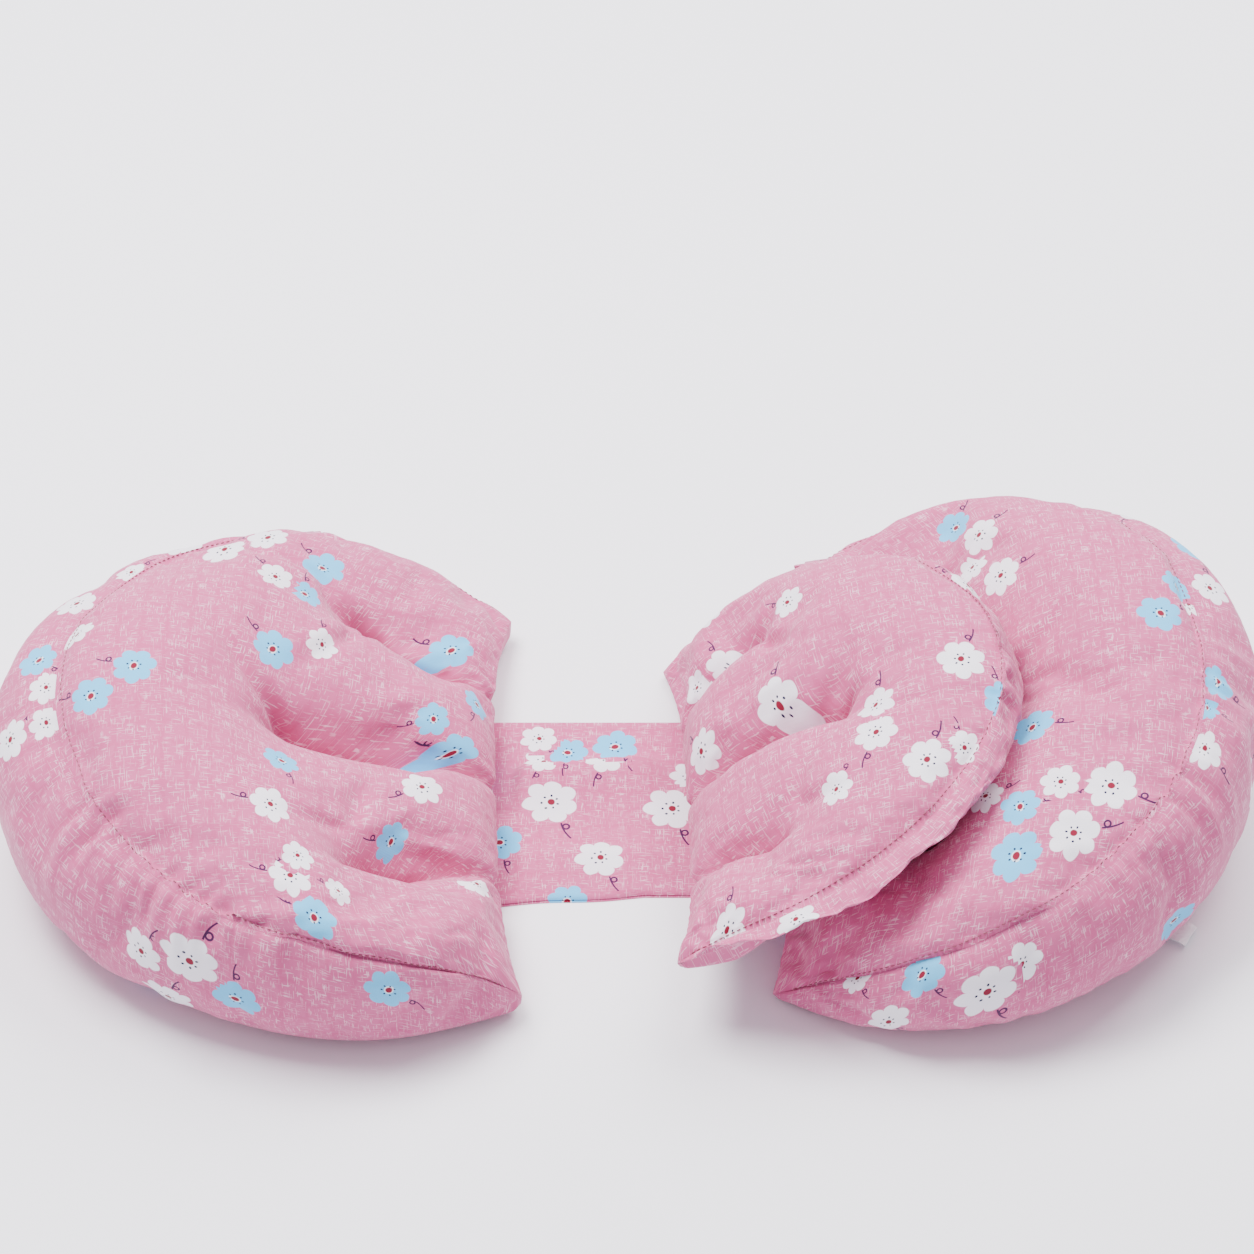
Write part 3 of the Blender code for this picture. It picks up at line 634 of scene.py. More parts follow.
def seat_zip(bag):
    """Brings the gusset to the zip's own circle where the zip is sewn in."""
    centre, axis, first, second, radius, start, end = zip_angles(bag.name.split("_")[0])
    rows = vertex_values(bag.data, "row")
    for vertex in bag.data.vertices:
        if not TOP_ROWS < rows[vertex.index] < TOP_ROWS + GUSSET_ROWS:
            continue
        place = vertex.co - centre
        height = place.dot(axis)
        flat = place - axis * height
        angle = math.atan2(flat.dot(second), flat.dot(first))
        beyond = max(start - angle, angle - end, 0.0) * radius
        share = max(0.0, 1 - beyond / 0.02) * max(0.0, min(1.0, (0.017 - abs(height)) / 0.009))
        vertex.co = centre + axis * height + flat * (1 + eased(share) * (radius / flat.length - 1))


def sew_cushion(name, size, presser=None, rests_on=None):
    """One cover, shaped, sewn shut, filled, and drawn down where it is stitched."""
    points = lay_out(size, presser, rests_on)
    closed = points.copy()
    for corner in (0, -1):
        closed[corner] = points[corner, 0]
    bag, row, column = shaped_grid(name, closed)
    ring_row = row % points.shape[1]
    marks = {"row": ring_row, "under": ring_row > TOP_ROWS + GUSSET_ROWS, "column": column}
    for mark, values in marks.items():
        layer = bag.data.attributes.new(mark, "FLOAT", "POINT")
        layer.data.foreach_set("value", values.astype(float))
    write_cloth_map(bag, row, column, cloth_coordinates(size, points))
    sew_shut(bag)
    bpy.ops.object.shade_smooth()
    bpy.ops.object.select_all(action="DESELECT")
    rows, columns = vertex_values(bag.data, "row"), vertex_values(bag.data, "column")
    t = columns / COLUMNS * 2 - 1
    u = across_top(np.clip(rows / TOP_ROWS, 0, 1))
    # How firmly the cloth is held: wholly at the stitched rows and underneath, hardly in the open.
    held = np.full(len(rows), 0.04)
    seam = np.exp(-((rows - TOP_ROWS) / 1.0) ** 2)
    held = np.maximum(held, 0.30 * seam)
    low = rows > TOP_ROWS + GUSSET_ROWS - 2
    held = np.where(low, 1.0, held)
    held = np.where(rows == 0, 0.6, held)
    held = np.maximum(held, np.clip((np.abs(t) - 0.93) / 0.05, 0, 1))
    for place, end in zip(CHANNELS, size["channel_ends"]):
        on_row = (np.abs(t - place) < 0.4 / COLUMNS) & (u <= end + 0.01) & (rows <= TOP_ROWS)
        held = np.where(on_row, 1.0, held)
    # The seams keep their length, and the cloth moves least in the valleys.
    tight = np.where(rows == 0, 1.0, seam)
    drawn = np.where(rows <= TOP_ROWS, drawn_down(size, u, t), 0.0)
    cap = np.where(rows > TOP_ROWS, 0.005, 0.009) * (1 - 0.75 * drawn)
    swell(bag, held, tight, cap)
    seat_zip(bag)
    return bag


def crease_cloth(bag, size, folds, pucker_zone):
    """Folds too fine for the filling step: the seam's groove, its puckers, and pulled creases."""
    mesh = bag.data
    rows, columns, under = (vertex_values(mesh, name) for name in ("row", "column", "under"))
    t = columns / COLUMNS * 2 - 1
    on_top = (under < 0.2) & (rows <= TOP_ROWS + 0.01)
    plan = panel_place(size, across_top(np.clip(rows / TOP_ROWS, 0, 1)), t)
    arc = round_side(size, t)
    push = np.zeros(len(rows))
    near_seam = np.abs(rows - TOP_ROWS) < 0.3
    push[near_seam & (under < 0.2)] -= SEAM_GROOVE
    reach = np.linalg.norm(plan - arc, axis=1)
    _, seam, lower = seam_levels(size, t)
    drop = (rows - TOP_ROWS) / GUSSET_ROWS * np.abs(seam - lower) * 1.25
    first, last, most = pucker_zone
    middle, width = (first + last) / 2, (last - first) / 2
    strength = 0.0004 + most * np.exp(-(((t - middle) / width) ** 4))
    run = t * size["radius"] * 2.0
    for index in np.nonzero((under < 0.2) & (rows > TOP_ROWS - 14))[0]:
        far = drop[index] if rows[index] > TOP_ROWS else reach[index]
        fall = math.exp(-far / (0.024 if rows[index] > TOP_ROWS else 0.009))
        wave = noise.noise(Vector((run[index] / 0.0085, far / 0.05, size["radius"] * 40)))
        wave += 0.6 * noise.noise(Vector((run[index] / 0.0046, far / 0.03, 7.0)))
        push[index] += strength[index] * fall * wave * min(1.0, far / 0.004)
    for start_x, start_y, degrees, length, depth in folds:
        angle = math.radians(degrees)
        away = plan - (start_x, start_y)
        along = away[:, 0] * math.cos(angle) + away[:, 1] * math.sin(angle)
        side = -away[:, 0] * math.sin(angle) + away[:, 1] * math.cos(angle)
        side = side - 0.12 * along**2 / length
        share = np.clip(along / length, 0, 1)
        profile = np.exp(-((side / (0.0035 + 0.005 * share)) ** 2)) * (1 - share) ** 1.2
        raised = np.exp(-(((side - 0.009) / 0.006) ** 2)) * (1 - share) ** 1.2
        inside = on_top & (along > -0.002) & (along < length)
        shape = (-depth * profile + 0.35 * depth * raised) * np.clip(along / 0.006, 0, 1)
        push[inside] += shape[inside]
    moved = vertex_vectors(mesh) + push[:, None] * vertex_vectors(mesh, "normal")
    moved[:, 2] = np.maximum(moved[:, 2], 0.0)
    mesh.vertices.foreach_set("co", moved.ravel())
    mesh.update()


def print_flowers(piece, flowers):
    """Marks each face that a flower covers with that flower's own coordinates.

    Under its panel, a flower is its centre in millimetres of cloth, its radius in millimetres,
    the way its stem points in degrees, and 1 for a blue one.
    """
    mesh = piece.data
    corners = np.empty(len(mesh.loops) * 2)
    mesh.uv_layers["cloth"].data.foreach_get("uv", corners)
    corners = corners.reshape(-1, 2)
    starts = np.array([face.loop_start for face in mesh.polygons])
    totals = np.array([face.loop_total for face in mesh.polygons])
    middle = np.add.reduceat(corners, starts, axis=0) / totals[:, None]
    face_of = np.repeat(np.arange(len(starts)), totals)
    bloom = np.full((len(corners), 3), UNPRINTED)
    taken = np.full(len(starts), UNPRINTED)
    listed = [(panel, *flower) for panel, rows in flowers.items() for flower in rows]
    for panel, x, y, size, degrees, blue in listed:
        size /= MM
        centre = np.array([x, y]) / MM + PANEL_SHIFT[panel]
        angle = math.radians(degrees)
        turn = np.array([[math.cos(angle), math.sin(angle)], [-math.sin(angle), math.cos(angle)]])
        local = (middle - centre) @ turn.T / size
        reach = np.hypot(local[:, 0], local[:, 1])
        edge = 0.003 / size
        on_stem = (local[:, 0] > 0) & (local[:, 0] < 1.95) & (np.abs(local[:, 1]) < 0.34 + edge)
        rank = np.where(reach < 1.0 + edge, 0.0, np.where(on_stem, 1.0, UNPRINTED))
        covered = rank < taken
        taken = np.minimum(taken, rank)
        chosen = covered[face_of]
        bloom[chosen, :2] = (corners[chosen] - centre) @ turn.T / size
        bloom[chosen, 2] = blue
    layer = mesh.attributes.new("bloom", "FLOAT_VECTOR", "CORNER")
    layer.data.foreach_set("vector", bloom.ravel())


def finish_cushion(bag, size, folds, pucker_zone, flowers):
    """Refines the filled cover once, creases and prints it, gives it its body, and hides the CAD parts that
    it stands for.
    """
    bpy.context.view_layer.objects.active = bag
    bpy.ops.object.modifier_add(type="SUBSURF")
    bag.modifiers[-1].levels = bag.modifiers[-1].render_levels = 1
    bpy.ops.object.modifier_apply(modifier=bag.modifiers[-1].name)
    crease_cloth(bag, size, folds, pucker_zone)
    print_flowers(bag, flowers)
    bag.data.materials.clear()
    bag.data.materials.append(cotton)
    side = bag.name.split("_")[0]
    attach(bag, f"{side}_cushion")
    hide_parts(*(f"{side}_{part}" for part in ("top_panel", "gusset", "bottom_panel", "fill")))


# A crease: where it starts in the panel, the way it runs in degrees, its length and its depth.
LEFT_FOLDS = (
    (0.131, 0.000, 42, 0.095, 0.0075),
    (0.095, 0.080, -62, 0.068, 0.0067),
    (0.095, -0.080, 96, 0.060, 0.0053),
    (0.095, 0.080, 118, 0.060, 0.0045),
    (0.095, 0.080, 62, 0.062, 0.0053),
    (0.095, -0.080, -20, 0.060, 0.0037),
    (0.131, 0.000, -25, 0.060, 0.0037),
)
RIGHT_FOLDS = (
    (0.127, 0.000, 35, 0.080, 0.0056),
    (0.127, 0.000, -40, 0.070, 0.0049),
    (0.092, 0.074, 30, 0.060, 0.0042),
    (0.092, -0.074, -30, 0.070, 0.0042),
)
LEFT_FLOWERS = {
    "top": (
        (177, 133, 14, 32, 0), (154, 151, 13.4, -4, 0), (140, 103, 11.9, 43, 0),
        (112, 135, 14, 36, 1), (119, 99, 11.3, 80, 1), (135, 40, 13.5, 38, 1),
        (106, 55, 10.5, 80, 0), (254, 39, 12.3, -16, 0), (216, -2, 12.7, 20, 1),
        (240, -19, 12.7, 16, 1), (129, -47, 11.4, -108, 1), (138, -89, 13, 3, 0),
        (124, -123, 10, -20, 0), (130, -137, 12.9, 11, 0), (100, -139, 8.8, 8, 0),
        (121, -161, 12.8, 30, 1), (18, 100, 14, 14, 1), (34, 22, 10.5, -28, 1),
        (4, 51, 10.6, -75, 1), (12, 7, 13, 1, 1), (44, -40, 12.7, -37, 0), (53, -79, 11.4, -16, 1),
        (0, -101, 11.4, 159, 0),
    ),
    "gusset": (
        (26, -16, 12.9, 120, 1), (2, -7, 12.2, -16, 0), (-23, -8, 11.5, 16, 0),
        (-22, -33, 12.2, 59, 0), (-158, -48, 12.4, 112, 0), (-186, -36, 16.4, 109, 0),
        (-169, -79, 13.7, 111, 0), (-211, -52, 13.5, 87, 1), (-295, -19, 13.4, -149, 1),
        (125, -5, 11.4, 0, 0), (117, -73, 15.5, 340, 0), (192, -60, 12, 150, 1),
        (259, -25, 14, 150, 0), (271, -74, 14, 300, 1), (171, -12, 15.5, 250, 0),
        (75, -64, 13, 60, 0), (80, -14, 14, 250, 0), (299, -36, 13, 340, 0), (231, -80, 14, 60, 1),
        (219, -13, 12, 60, 0), (150, -49, 15.5, 250, 1),
    ),
    "bottom": (
        (37, 86, 15.5, 340, 1), (61, -69, 14, 200, 0), (64, 3, 15.5, 110, 0),
        (172, -90, 14, 300, 0), (73, -129, 13, 150, 1), (133, -8, 12, 20, 1), (203, 33, 13, 110, 1),
        (105, 52, 15.5, 110, 1), (104, 124, 14, 200, 0), (168, 71, 15.5, 300, 1),
        (108, -66, 14, 60, 1), (120, -116, 12, 60, 0), (208, -123, 12, 110, 1),
        (229, -11, 13, 300, 0), (208, 114, 15.5, 200, 1), (179, -42, 13, 150, 0),
        (27, -121, 13, 250, 0), (229, -67, 15.5, 60, 1), (21, 33, 14, 250, 0),
        (161, 131, 15.5, 300, 0), (22, -31, 14, 110, 1), (29, 134, 14, 150, 0),
    ),
}
RIGHT_FLOWERS = {
    "top": (
        (108, 147, 12.9, 37, 1), (121, 121, 14, 24, 0), (109, 101, 11.4, 31, 0),
        (128, 78, 13.2, 5, 0), (220, 21, 13.5, 25, 1), (235, 49, 11.2, 25, 1),
        (144, -50, 13.3, -16, 1), (161, -98, 11.9, -35, 0), (190, -101, 16.1, -22, 0),
        (116, -98, 12, 12, 0), (138, -113, 12.5, 6, 1), (171, -133, 15.9, 14, 0),
        (139, -146, 15.9, 10, 1), (244, 38, 9.3, -1, 0),
    ),
    "gusset": (
        (-21, -11, 12.8, -105, 1), (-42, -3, 10.9, -102, 1), (-72, -9, 13.2, -109, 0),
        (-45, -70, 13.5, 0, 0), (-133, -80, 12.1, -117, 1), (-291, -9, 13.5, -57, 1),
        (-255, -32, 17, -70, 0), (-236, -24, 12.9, -108, 0), (-334, -1, 10, -53, 0),
        (-309, -35, 13, -71, 0), (142, -25, 12, 110, 0), (216, -49, 14, 150, 0),
        (55, -18, 13, 340, 0), (32, -79, 14, 250, 0), (278, -68, 15.5, 250, 1),
        (95, -30, 14, 250, 1), (114, -78, 12, 20, 0), (246, -18, 12, 250, 1), (70, -63, 13, 60, 1),
        (175, -55, 15.5, 150, 1), (238, -86, 15.5, 340, 0), (298, -20, 15.5, 200, 0),
    ),
    "bottom": (
        (209, -2, 15.5, 340, 1), (26, 71, 13, 200, 0), (125, -24, 15.5, 200, 1),
        (87, -73, 14, 300, 0), (154, 79, 15.5, 150, 1), (74, 125, 13, 300, 0),
        (113, -135, 14, 150, 0), (93, 27, 15.5, 60, 0), (155, 23, 12, 250, 1),
        (194, -63, 14, 200, 0), (68, -123, 13, 200, 0), (46, -18, 14, 250, 0),
        (226, -125, 14, 200, 0), (159, -120, 13, 200, 1), (172, 124, 15.5, 300, 1),
        (27, -89, 12, 150, 1), (220, 109, 13, 340, 0), (95, 73, 14, 250, 1), (147, -74, 13, 60, 0),
        (218, 57, 14, 60, 0), (24, 120, 14, 150, 1), (126, 134, 12, 20, 0),
    ),
}

left_cushion = sew_cushion("left_cushion", LEFT)
finish_cushion(left_cushion, LEFT, LEFT_FOLDS, (-0.62, -0.12, 0.0075), LEFT_FLOWERS)
right_cushion = sew_cushion("right_cushion", RIGHT, presser=SMALL)
finish_cushion(right_cushion, RIGHT, RIGHT_FOLDS, (-0.45, 0.02, 0.0070), RIGHT_FLOWERS)


# ---------------------------------------------------------------- the small cushion
# A smaller bag of the same make and cotton, joined to the belt by a strip and leaning on the
# right cushion. It is lifted clear of the cushion that it rests on.

SMALL_FOLDS = (
    (0.100, 0.000, 30, 0.060, 0.0049),
    (0.100, 0.000, -35, 0.050, 0.0042),
    (0.076, 0.071, -50, 0.050, 0.0049),
    (0.076, 0.071, 60, 0.045, 0.0042),
    (0.082, -0.071, 60, 0.050, 0.0049),
    (0.082, -0.071, -15, 0.055, 0.0042),
)
SMALL_FLOWERS = {
    "top": (
        (43, 134, 12.8, 0, 0), (97, 85, 11.2, 136, 0), (37, 85, 12.6, 91, 0),
        (13, 86, 11.4, 102, 0), (80, 12, 14.7, 78, 0), (139, -23, 12.6, 72, 0),
        (138, -48, 13.2, -118, 0), (192, -10, 13.9, 63, 0), (213, -37, 12.6, 98, 1),
        (165, -75, 14.2, 64, 0), (187, -68, 10.7, 100, 0), (110, -77, 11.3, 47, 0),
        (23, 16, 12.3, 117, 0), (38, -144, 12.9, 82, 0),
    ),
    "gusset": (
        (215, -25, 15.5, 250, 1), (-225, -12, 12, 80, 0), (100, -34, 13, 110, 0),
        (165, -12, 14, 20, 1), (67, -11, 14, 20, 0),
    ),
    "bottom": (
        (43, -22, 13, 150, 0), (135, 23, 13, 340, 0), (178, -61, 12, 150, 0), (151, 72, 14, 60, 1),
        (61, 75, 15.5, 150, 1), (138, -24, 14, 300, 1), (103, 107, 12, 20, 1),
        (101, -98, 12, 110, 1), (93, -46, 12, 200, 1), (16, -80, 12, 200, 0), (185, 2, 14, 340, 1),
        (82, 16, 15.5, 250, 1), (22, 110, 14, 150, 0), (26, 43, 12, 20, 1),
        (178, -110, 15.5, 150, 1), (188, 108, 13, 200, 0), (56, -106, 14, 250, 1),
    ),
}

right_surface = BVHTree.FromObject(right_cushion, bpy.context.evaluated_depsgraph_get())
small_cushion = sew_cushion("small_cushion", SMALL, rests_on=right_surface)
finish_cushion(small_cushion, SMALL, SMALL_FOLDS, (-0.30, 0.00, 0.0040), SMALL_FLOWERS)


# ---------------------------------------------------------------- the belt
# A flat tube of the same cotton, two layers thick, about 15 cm wide. It runs under both large
# cushions and has settled into two soft folds along its length; its hem shows as a double edge.

BELT_TOP = 0.0027
BELT_BACK = 0.0460
BELT_EDGE_INSET = 0.0012
BELT_ROWS = 62
LIP = ((0.0, -0.0004), (0.0004, -0.0012), (-0.0008, -0.0015), (0.0006, -0.0019), (0.0010, -0.0024))
PANEL_SHIFT["belt"] = (9.0, 0.0)


def belt_height(x, y):
    """The upper layer: two soft folds between the cushions, flat underneath them."""
    shown = eased(min(1.0, max(0.0, min((x + 0.072) / 0.012, (0.031 - x) / 0.030))))
    rise = 0.0
    back_fold = (0.003 + 0.0035 * math.sin(x * 32 + 0.6), 0.0105, 0.026, 0.0062)
    front_fold = (-0.067 + 0.05 * x, 0.0050, 0.022, 0.0075)
    for crest, height, front_width, back_width in (back_fold, front_fold):
        width = back_width if y > crest else front_width
        rise += height * math.exp(-(((y - crest) / width) ** 2))
    rise += 0.0012 * noise.noise(Vector((x * 30, y * 24, 3.0))) + 0.0006
    edge = min(1.0, min(y + 0.103, BELT_BACK - y) / 0.012)
    return BELT_TOP + max(0.0, rise) * shown * max(0.0, edge)


def belt_ring(x):
    """Round the belt at one place: over the top, down the back hem, under, up the front hem."""
    front = -0.1035 + 0.075 * max(0.0, x + 0.075) + 0.0007 * math.sin(x * 95)
    front = min(front, -0.0965)
    ring = []
    for row in range(BELT_ROWS + 1):
        y = front + BELT_EDGE_INSET + (BELT_BACK - front - 2 * BELT_EDGE_INSET) * row / BELT_ROWS
        ring.append((x, y, belt_height(x, y)))
    ring += [(x, BELT_BACK + out, BELT_TOP + down) for out, down in LIP]
    for row in range(9):
        ring.append((x, BELT_BACK - 0.001 + (front - BELT_BACK + 0.002) * row / 8, 0.0))
    ring += [(x, front - out * 1.6, BELT_TOP + down) for out, down in reversed(LIP)]
    return ring


def lay_belt(name, first, last, columns):
    """One length of the belt, laid flat along x."""
    rings = [belt_ring(first + (last - first) * column / columns) for column in range(columns + 1)]
    belt, _, _ = shaped_grid(name, np.array(rings))
    sew_shut(belt, close_ends=True)
    bpy.ops.object.shade_smooth_by_angle(angle=math.radians(50))
    mesh = belt.data
    layer = new_cloth_layer(mesh)
    for loop in mesh.loops:
        place = mesh.vertices[loop.vertex_index].co
        layer.data[loop.index].uv = (place.x + PANEL_SHIFT["belt"][0], place.y + place.z * 0.6)
    mesh.materials.append(cotton)
    bpy.ops.object.select_all(action="DESELECT")
    return belt


BELT_FLOWERS = {
    "belt": (
        (-54, 33, 11.5, -60, 0), (-7, 26, 14, -70, 1), (-36, 21, 12.5, -100, 1),
        (-51, 13, 12, -110, 0), (-13, 14, 13.5, -110, 0), (-46, -22, 17, -70, 0),
        (27, -26, 17, -75, 0), (-16, -68, 15, -70, 0), (-76, -54, 14, -80, 1),
        (-35, -101, 12, -90, 1), (38, 1, 12, -80, 0),
    ),
}

belt = lay_belt("belt", -0.078, 0.032, 56)
belt_left_end = lay_belt("belt_left_end", -0.185, -0.078, 40)
belt_right_end = lay_belt("belt_right_end", 0.032, 0.164, 44)
for piece in (belt, belt_left_end, belt_right_end):
    print_flowers(piece, BELT_FLOWERS)
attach(belt, "belt")
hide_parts("belt_lower_layer", "belt_upper_layer", "belt_front_edge_stitch", "belt_back_edge_stitch")
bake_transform(belt_left_end)
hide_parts("left_belt_end_lower_layer", "left_belt_end_upper_layer")
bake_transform(belt_right_end)
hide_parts("right_belt_end_lower_layer", "right_belt_end_upper_layer")


# ---------------------------------------------------------------- stitching
# The top seam is topstitched with dark red thread, about three stitches to the centimetre, just
# inside the seam line. The rows that make the fingers are sewn in pink thread.


def thread_material(name, colour, pale):
    """Twisted thread: two close tones and a fine ridge running round it."""
    thread = new_material(name)
    place = add_node(thread, "ShaderNodeTexCoord", output="Object")
    links = {"Vector": place, "Scale": 900.0, "Distortion": 2.0}
    twist = add_node(thread, "ShaderNodeTexWave", {"bands_direction": "DIAGONAL"}, links)
    shade = mix_colour(thread, twist, linear(colour), linear(pale))
    shader = finish_surface(thread, shade, twist, 0.3, 0.0002, 0.55)
    shader.inputs["Sheen Weight"].default_value = 0.2
    return thread


dark_thread = thread_material("dark_red_polyester_thread", "#6E2238", "#8F3B52")
pink_thread = thread_material("pink_polyester_thread", "#B9648A", "#CF86A5")


def six_sided_ring(bm, middle, one_way, other_way):
    """Six points round a middle, as far out as the two ways are long."""
    ring = []
    for corner in range(6):
        angle = corner * math.pi / 3
        ring.append(bm.verts.new(middle + one_way * math.cos(angle) + other_way * math.sin(angle)))
    return ring


def join_rings(bm, rings):
    """Faces from each ring to the next, and one over each end."""
    for one, two in zip(rings, rings[1:]):
        for corner in range(len(one)):
            after = (corner + 1) % len(one)
            bm.faces.new((one[corner], one[after], two[after], two[corner]))
    bm.faces.new(rings[0])
    bm.faces.new(rings[-1])


def finish_mesh(name, bm, material, angle=40):
    """An object from the faces made so far, smooth where they meet at less than the angle."""
    bmesh.ops.recalc_face_normals(bm, faces=bm.faces)
    mesh = bpy.data.meshes.new(name)
    bm.to_mesh(mesh)
    bm.free()
    mesh.materials.append(material)
    made = bpy.data.objects.new(name, mesh)
    bpy.context.scene.collection.objects.link(made)
    bpy.context.view_layer.objects.active = made
    made.select_set(True)
    bpy.ops.object.shade_smooth_by_angle(angle=math.radians(angle))
    bpy.ops.object.select_all(action="DESELECT")
    return made


def surface_line(bag, places):
    """Points and normals of the finished bag at places given as (column, row)."""
    mesh = bag.data
    rows, columns, under = (vertex_values(mesh, name) for name in ("row", "column", "under"))
    lookup = {}
    for index in np.nonzero(under < 0.2)[0]:
        lookup[(round(columns[index] * 2), round(rows[index] * 2))] = index
    points, normals = [], []
    for column, row in places:
        low = (math.floor(column * 2), math.floor(row * 2))
        share = (column * 2 - low[0], row * 2 - low[1])
        point, normal, total = Vector(), Vector(), 0.0
        for a in (0, 1):
            for b in (0, 1):
                weight = (share[0] if a else 1 - share[0]) * (share[1] if b else 1 - share[1])
                index = lookup.get((low[0] + a, low[1] + b))
                if index is not None and weight > 0:
                    point += weight * mesh.vertices[index].co
                    normal += weight * mesh.vertices[index].normal
                    total += weight
        if total > 0.5:
            points.append(point / total)
            normals.append(normal.normalized())
    return points, normals


SMOOTH_ALL_ROUND = 180


def sew_stitches(name, bag, places, material, length, pitch, thickness, lift):
    """A row of separate stitches: one six-sided stitch with rounded ends, copied along the line."""
    points, normals = surface_line(bag, places)
    run = [0.0]
    for one, two in zip(points, points[1:]):
        run.append(run[-1] + (two - one).length)
    bm = bmesh.new()
    start = pitch / 2
    while start + length < run[-1]:
        rings = []
        for part in range(5):
            target = start + length * part / 4
            index = max(0, min(len(run) - 2, int(np.searchsorted(run, target)) - 1))
            share = (target - run[index]) / max(1e-9, run[index + 1] - run[index])
            point = points[index].lerp(points[index + 1], share)
            normal = normals[index].lerp(normals[index + 1], share).normalized()
            along = (points[index + 1] - points[index]).normalized()
            height = lift * (1.0 if 0 < part < 4 else -0.6)
            size = thickness * (0.45 if part in (0, 4) else 1.0)
            across = along.cross(normal).normalized()
            rings.append(six_sided_ring(bm, point + normal * height, across * size, normal * size))
        join_rings(bm, rings)
        start += pitch
    return finish_mesh(name, bm, material, SMOOTH_ALL_ROUND)


SEAM_OFFSET = 0.62

for cushion, size in ((left_cushion, LEFT), (right_cushion, RIGHT), (small_cushion, SMALL)):
    side = cushion.name.split("_")[0]
    seam_line = [(c / 2, TOP_ROWS - SEAM_OFFSET) for c in range(5, 2 * COLUMNS - 4)]
    name = f"{side}_topstitch"
    seam = sew_stitches(name, cushion, seam_line, dark_thread, 0.0026, 0.0038, 0.0003, 0.0002)
    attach(seam, f"{side}_cushion")
    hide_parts(f"{side}_seam_stitch")
    for number, (place, end) in enumerate(zip(CHANNELS, size["channel_ends"]), 1):
        column = (place + 1) / 2 * COLUMNS
        last_row = next(row for row in range(TOP_ROWS) if across_top(row / TOP_ROWS) > end)
        line = [(column, row / 2) for row in range(2, last_row * 2)]
        name = f"{side}_channel_stitches_{number}"
        stitches = sew_stitches(name, cushion, line, pink_thread, 0.003, 0.0042, 0.0005, 0.0006)
        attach(stitches, f"{side}_cushion")
        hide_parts(f"{side}_channel_stitch_{number}")


# ---------------------------------------------------------------- zips, tapes and label
# Each cover opens at the back with a nylon coil zip: a woven tape sewn into the gusset, a row of
# coil turns, and a small cast slider and pull. Hook and loop tape joins the belt to the left
# cushion. A folded satin label is sewn into the right cushion's lower seam.


def grained(name, colour, pale, scale, rough, depth, metal=0.0, stretch=(1.0, 1.0, 1.0)):
    """A plain material whose colour and relief follow a fine grain in the piece's own space."""
    material = new_material(name)
    place = add_node(material, "ShaderNodeTexCoord", output="Object")
    place = add_node(material, "ShaderNodeVectorMath", {"operation": "MULTIPLY"}, {0: place, 1: stretch})
    links = {"Vector": place, "Scale": scale, "Detail": 3.0, "Roughness": 0.6}
    grain = add_node(material, "ShaderNodeTexNoise", {}, links)
    spread = step_up(material, grain, 0.32, 0.68)
    shade = mix_colour(material, spread, linear(colour), linear(pale))
    shader = finish_surface(material, shade, grain, 0.5, depth, rough)
    shader.inputs["Metallic"].default_value = metal
    return material


zip_tape_cloth = grained("woven_polyester_zip_tape", "#B96A8E", "#C87C9E", 900.0, 0.8, 0.0002)
zip_nylon = grained("nylon_zip_coil", "#B0567F", "#BE6A90", 400.0, 0.42, 0.0001)
zip_metal = grained("pink_enamelled_zinc", "#C27A9B", "#CB88A7", 260.0, 0.34, 0.00003, metal=0.25)
loop_pile = grained("nylon_loop_pile", "#E2DCE2", "#F6F2F6", 1500.0, 0.95, 0.0006)
hook_nylon = grained("nylon_hook_tape", "#DDD6DD", "#EFEAF0", 1100.0, 0.5, 0.0005)
plain_cotton = grained("pink_cotton_backing", "#C45A8A", "#CF6F9A", 700.0, 0.86, 0.0003)
satin = grained(
    "white_satin_label_ribbon", "#E9E4EA", "#F7F4F8", 220.0, 0.36, 0.0001, stretch=(1.0, 1.0, 12.0)
)
satin.node_tree.nodes["Principled BSDF"].inputs["Sheen Weight"].default_value = 0.3


def dress(node_name, material):
    """Gives a CAD node that stays in sight its own material."""
    node = bpy.data.objects[node_name]
    node.data.materials.clear()
    node.data.materials.append(material)


dress("hook_tape", hook_nylon)
dress("loop_tape", loop_pile)
dress("small_joining_strip", plain_cotton)


def zip_band(name, side, material, half_width, inner, outer, steps):
    """A thin curved band on the zip's circle."""
    centre, axis, first, second, radius, start, end = zip_angles(side)
    corners = ((inner, -half_width), (outer, -half_width), (outer, half_width), (inner, half_width))
    bm = bmesh.new()
    rings = []
    for step in range(steps + 1):
        angle = start + (end - start) * step / steps
        away = first * math.cos(angle) + second * math.sin(angle)
        rings.append([bm.verts.new(centre + away * (radius + out) + axis * up) for out, up in corners])
    join_rings(bm, rings)
    return finish_mesh(name, bm, material)


COIL_PITCH = 0.0015
COIL_OUT = 0.0024


def coil_turns(name, side, material):
    """The coil as separate rounded turns, one every millimetre and a half."""
    centre, axis, first, second, radius, start, end = zip_angles(side)
    bm = bmesh.new()
    pitch = COIL_PITCH / radius
    for number in range(int((end - start) / pitch) - 1):
        angle = start + pitch * (number + 1)
        away = first * math.cos(angle) + second * math.sin(angle)
        along = axis.cross(away)
        middle = centre + away * (radius + COIL_OUT) + axis * (0.0007 if number % 2 else -0.0007)
        rings = []
        for reach, size in ((-0.0026, 0.5), (-0.0018, 1.0), (0.0018, 1.0), (0.0026, 0.5)):
            one_way, other_way = along * 0.0005 * size, away * 0.0010 * size
            rings.append(six_sided_ring(bm, middle + axis * reach, one_way, other_way))
        join_rings(bm, rings)
    return finish_mesh(name, bm, material)


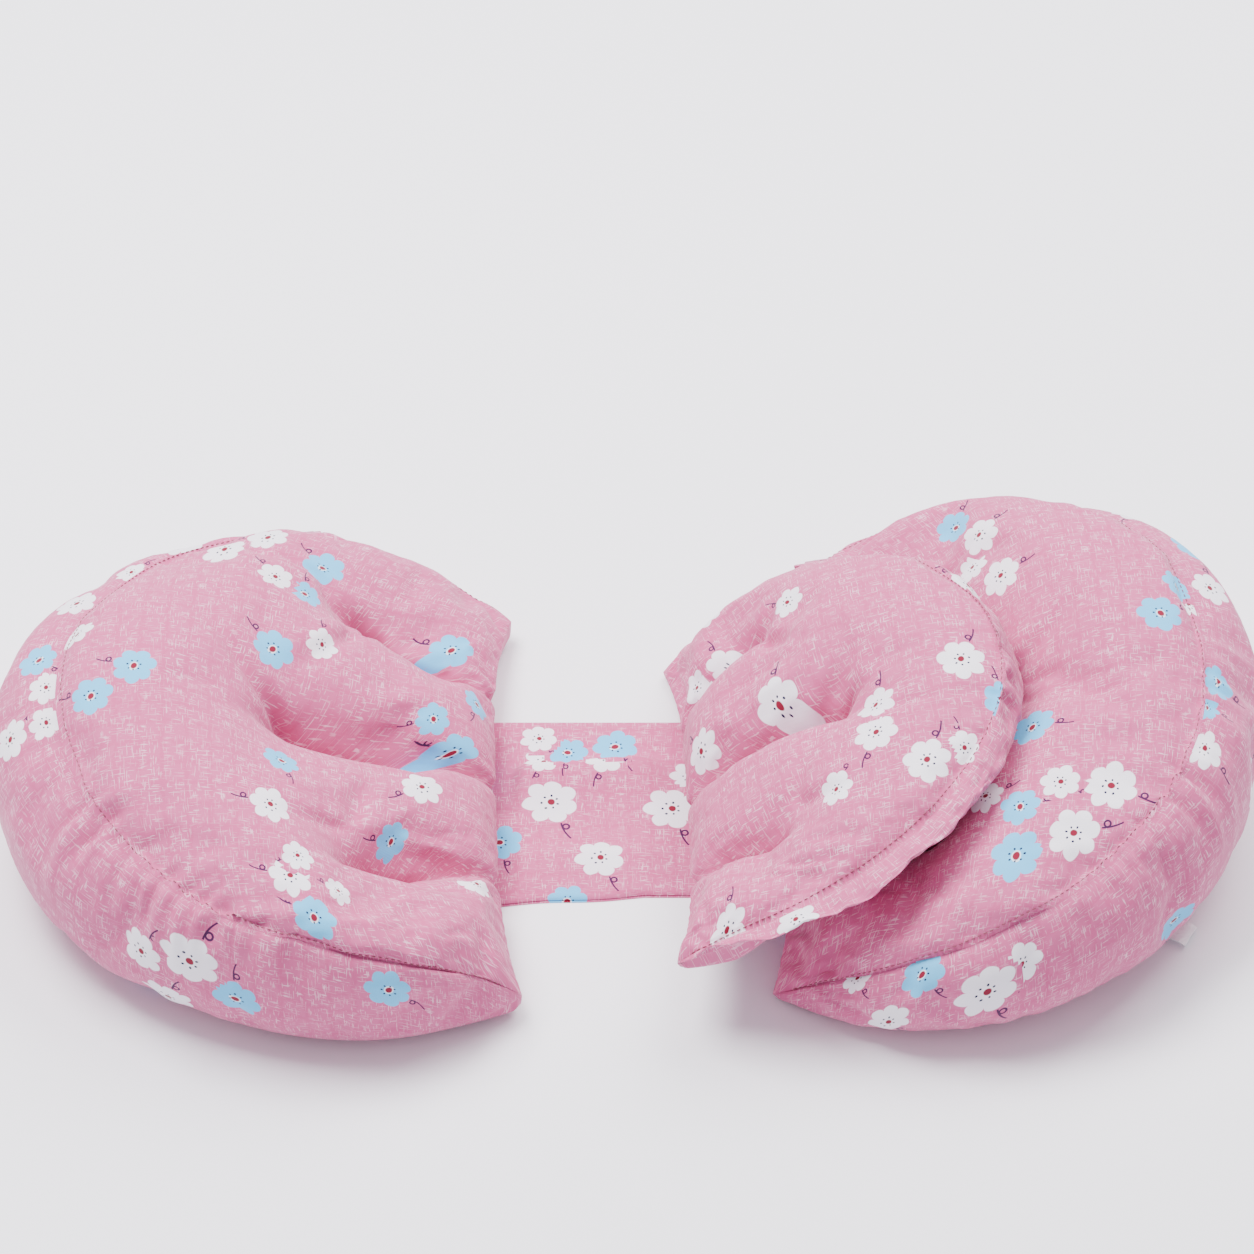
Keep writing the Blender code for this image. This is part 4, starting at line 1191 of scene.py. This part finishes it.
for side in ("left", "right", "small"):
    band = zip_band(f"{side}_tape", side, zip_tape_cloth, 0.0062, -0.0004, 0.0012, 48)
    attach(band, f"{side}_cushion")
    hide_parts(f"{side}_zip_tape")
    coil = coil_turns(f"{side}_coil", side, zip_nylon)
    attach(coil, f"{side}_cushion")
    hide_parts(f"{side}_zip_coil")
    dress(f"{side}_zip_slider", zip_metal)
    dress(f"{side}_zip_pull", zip_metal)

LABEL_LENGTH = 0.026
LABEL_STEP = 0.0021
LABEL_STEPS = 12
root = Vector((0.3072, -0.1186, 0.0078))
tangent = Vector((-0.5029, -0.8644, 0.0))
outward = Vector((0.8644, -0.5029, 0.0))
upper = [(across, 0.0005) for across in range(-4, 5)]
lower = [(across, -0.0004) for across in range(4, -5, -1)]
bm = bmesh.new()
rings = []
for step in range(LABEL_STEPS + 1):
    share = step / LABEL_STEPS
    drop = -0.0046 * share**1.6 + 0.0006 * math.sin(share * 9)
    middle = root + outward * LABEL_LENGTH * share
    ring = []
    for across, half_thickness in upper + lower:
        ripple = 0.0007 * math.sin(across * 0.9 + share * 2.0) * share
        lift = Vector((0, 0, drop + ripple + half_thickness))
        ring.append(bm.verts.new(middle + tangent * LABEL_STEP * across + lift))
    rings.append(ring)
join_rings(bm, rings)
label = finish_mesh("satin_label", bm, satin, 60)
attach(label, "care_label")
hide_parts("care_label")


# ---------------------------------------------------------------- studio
# A pale seamless floor and soft light from above, with the camera looking down at the pillow.

bpy.ops.mesh.primitive_plane_add(size=12.0, location=(0, 2.0, 0))
floor = bpy.context.object
floor.name = "floor"
paper = new_material("studio_paper")
paper_shader = paper.node_tree.nodes["Principled BSDF"]
paper_shader.inputs["Base Color"].default_value = linear("#F6F4FA")
paper_shader.inputs["Roughness"].default_value = 0.9
floor.data.materials.append(paper)

world = bpy.data.worlds.new("studio")
bpy.context.scene.world = world
world.use_nodes = True
world.node_tree.nodes["Background"].inputs["Color"].default_value = linear("#EDEDF4")
world.node_tree.nodes["Background"].inputs["Strength"].default_value = 0.90

for place, size, power in (((-0.9, 0.4, 2.4), 1.3, 140), ((1.0, 1.2, 2.2), 1.8, 92)):
    bpy.ops.object.light_add(type="AREA", location=place)
    lamp = bpy.context.object
    lamp.data.size = size
    lamp.data.energy = power
    lamp.rotation_euler = (-Vector(place)).to_track_quat("-Z", "Y").to_euler()

bpy.ops.object.camera_add(location=(0.0, -1.729, 1.783), rotation=(math.radians(46.25), 0, 0))
camera = bpy.context.object
camera.data.lens = 117.1
camera.data.sensor_width = 36.0
bpy.context.scene.camera = camera
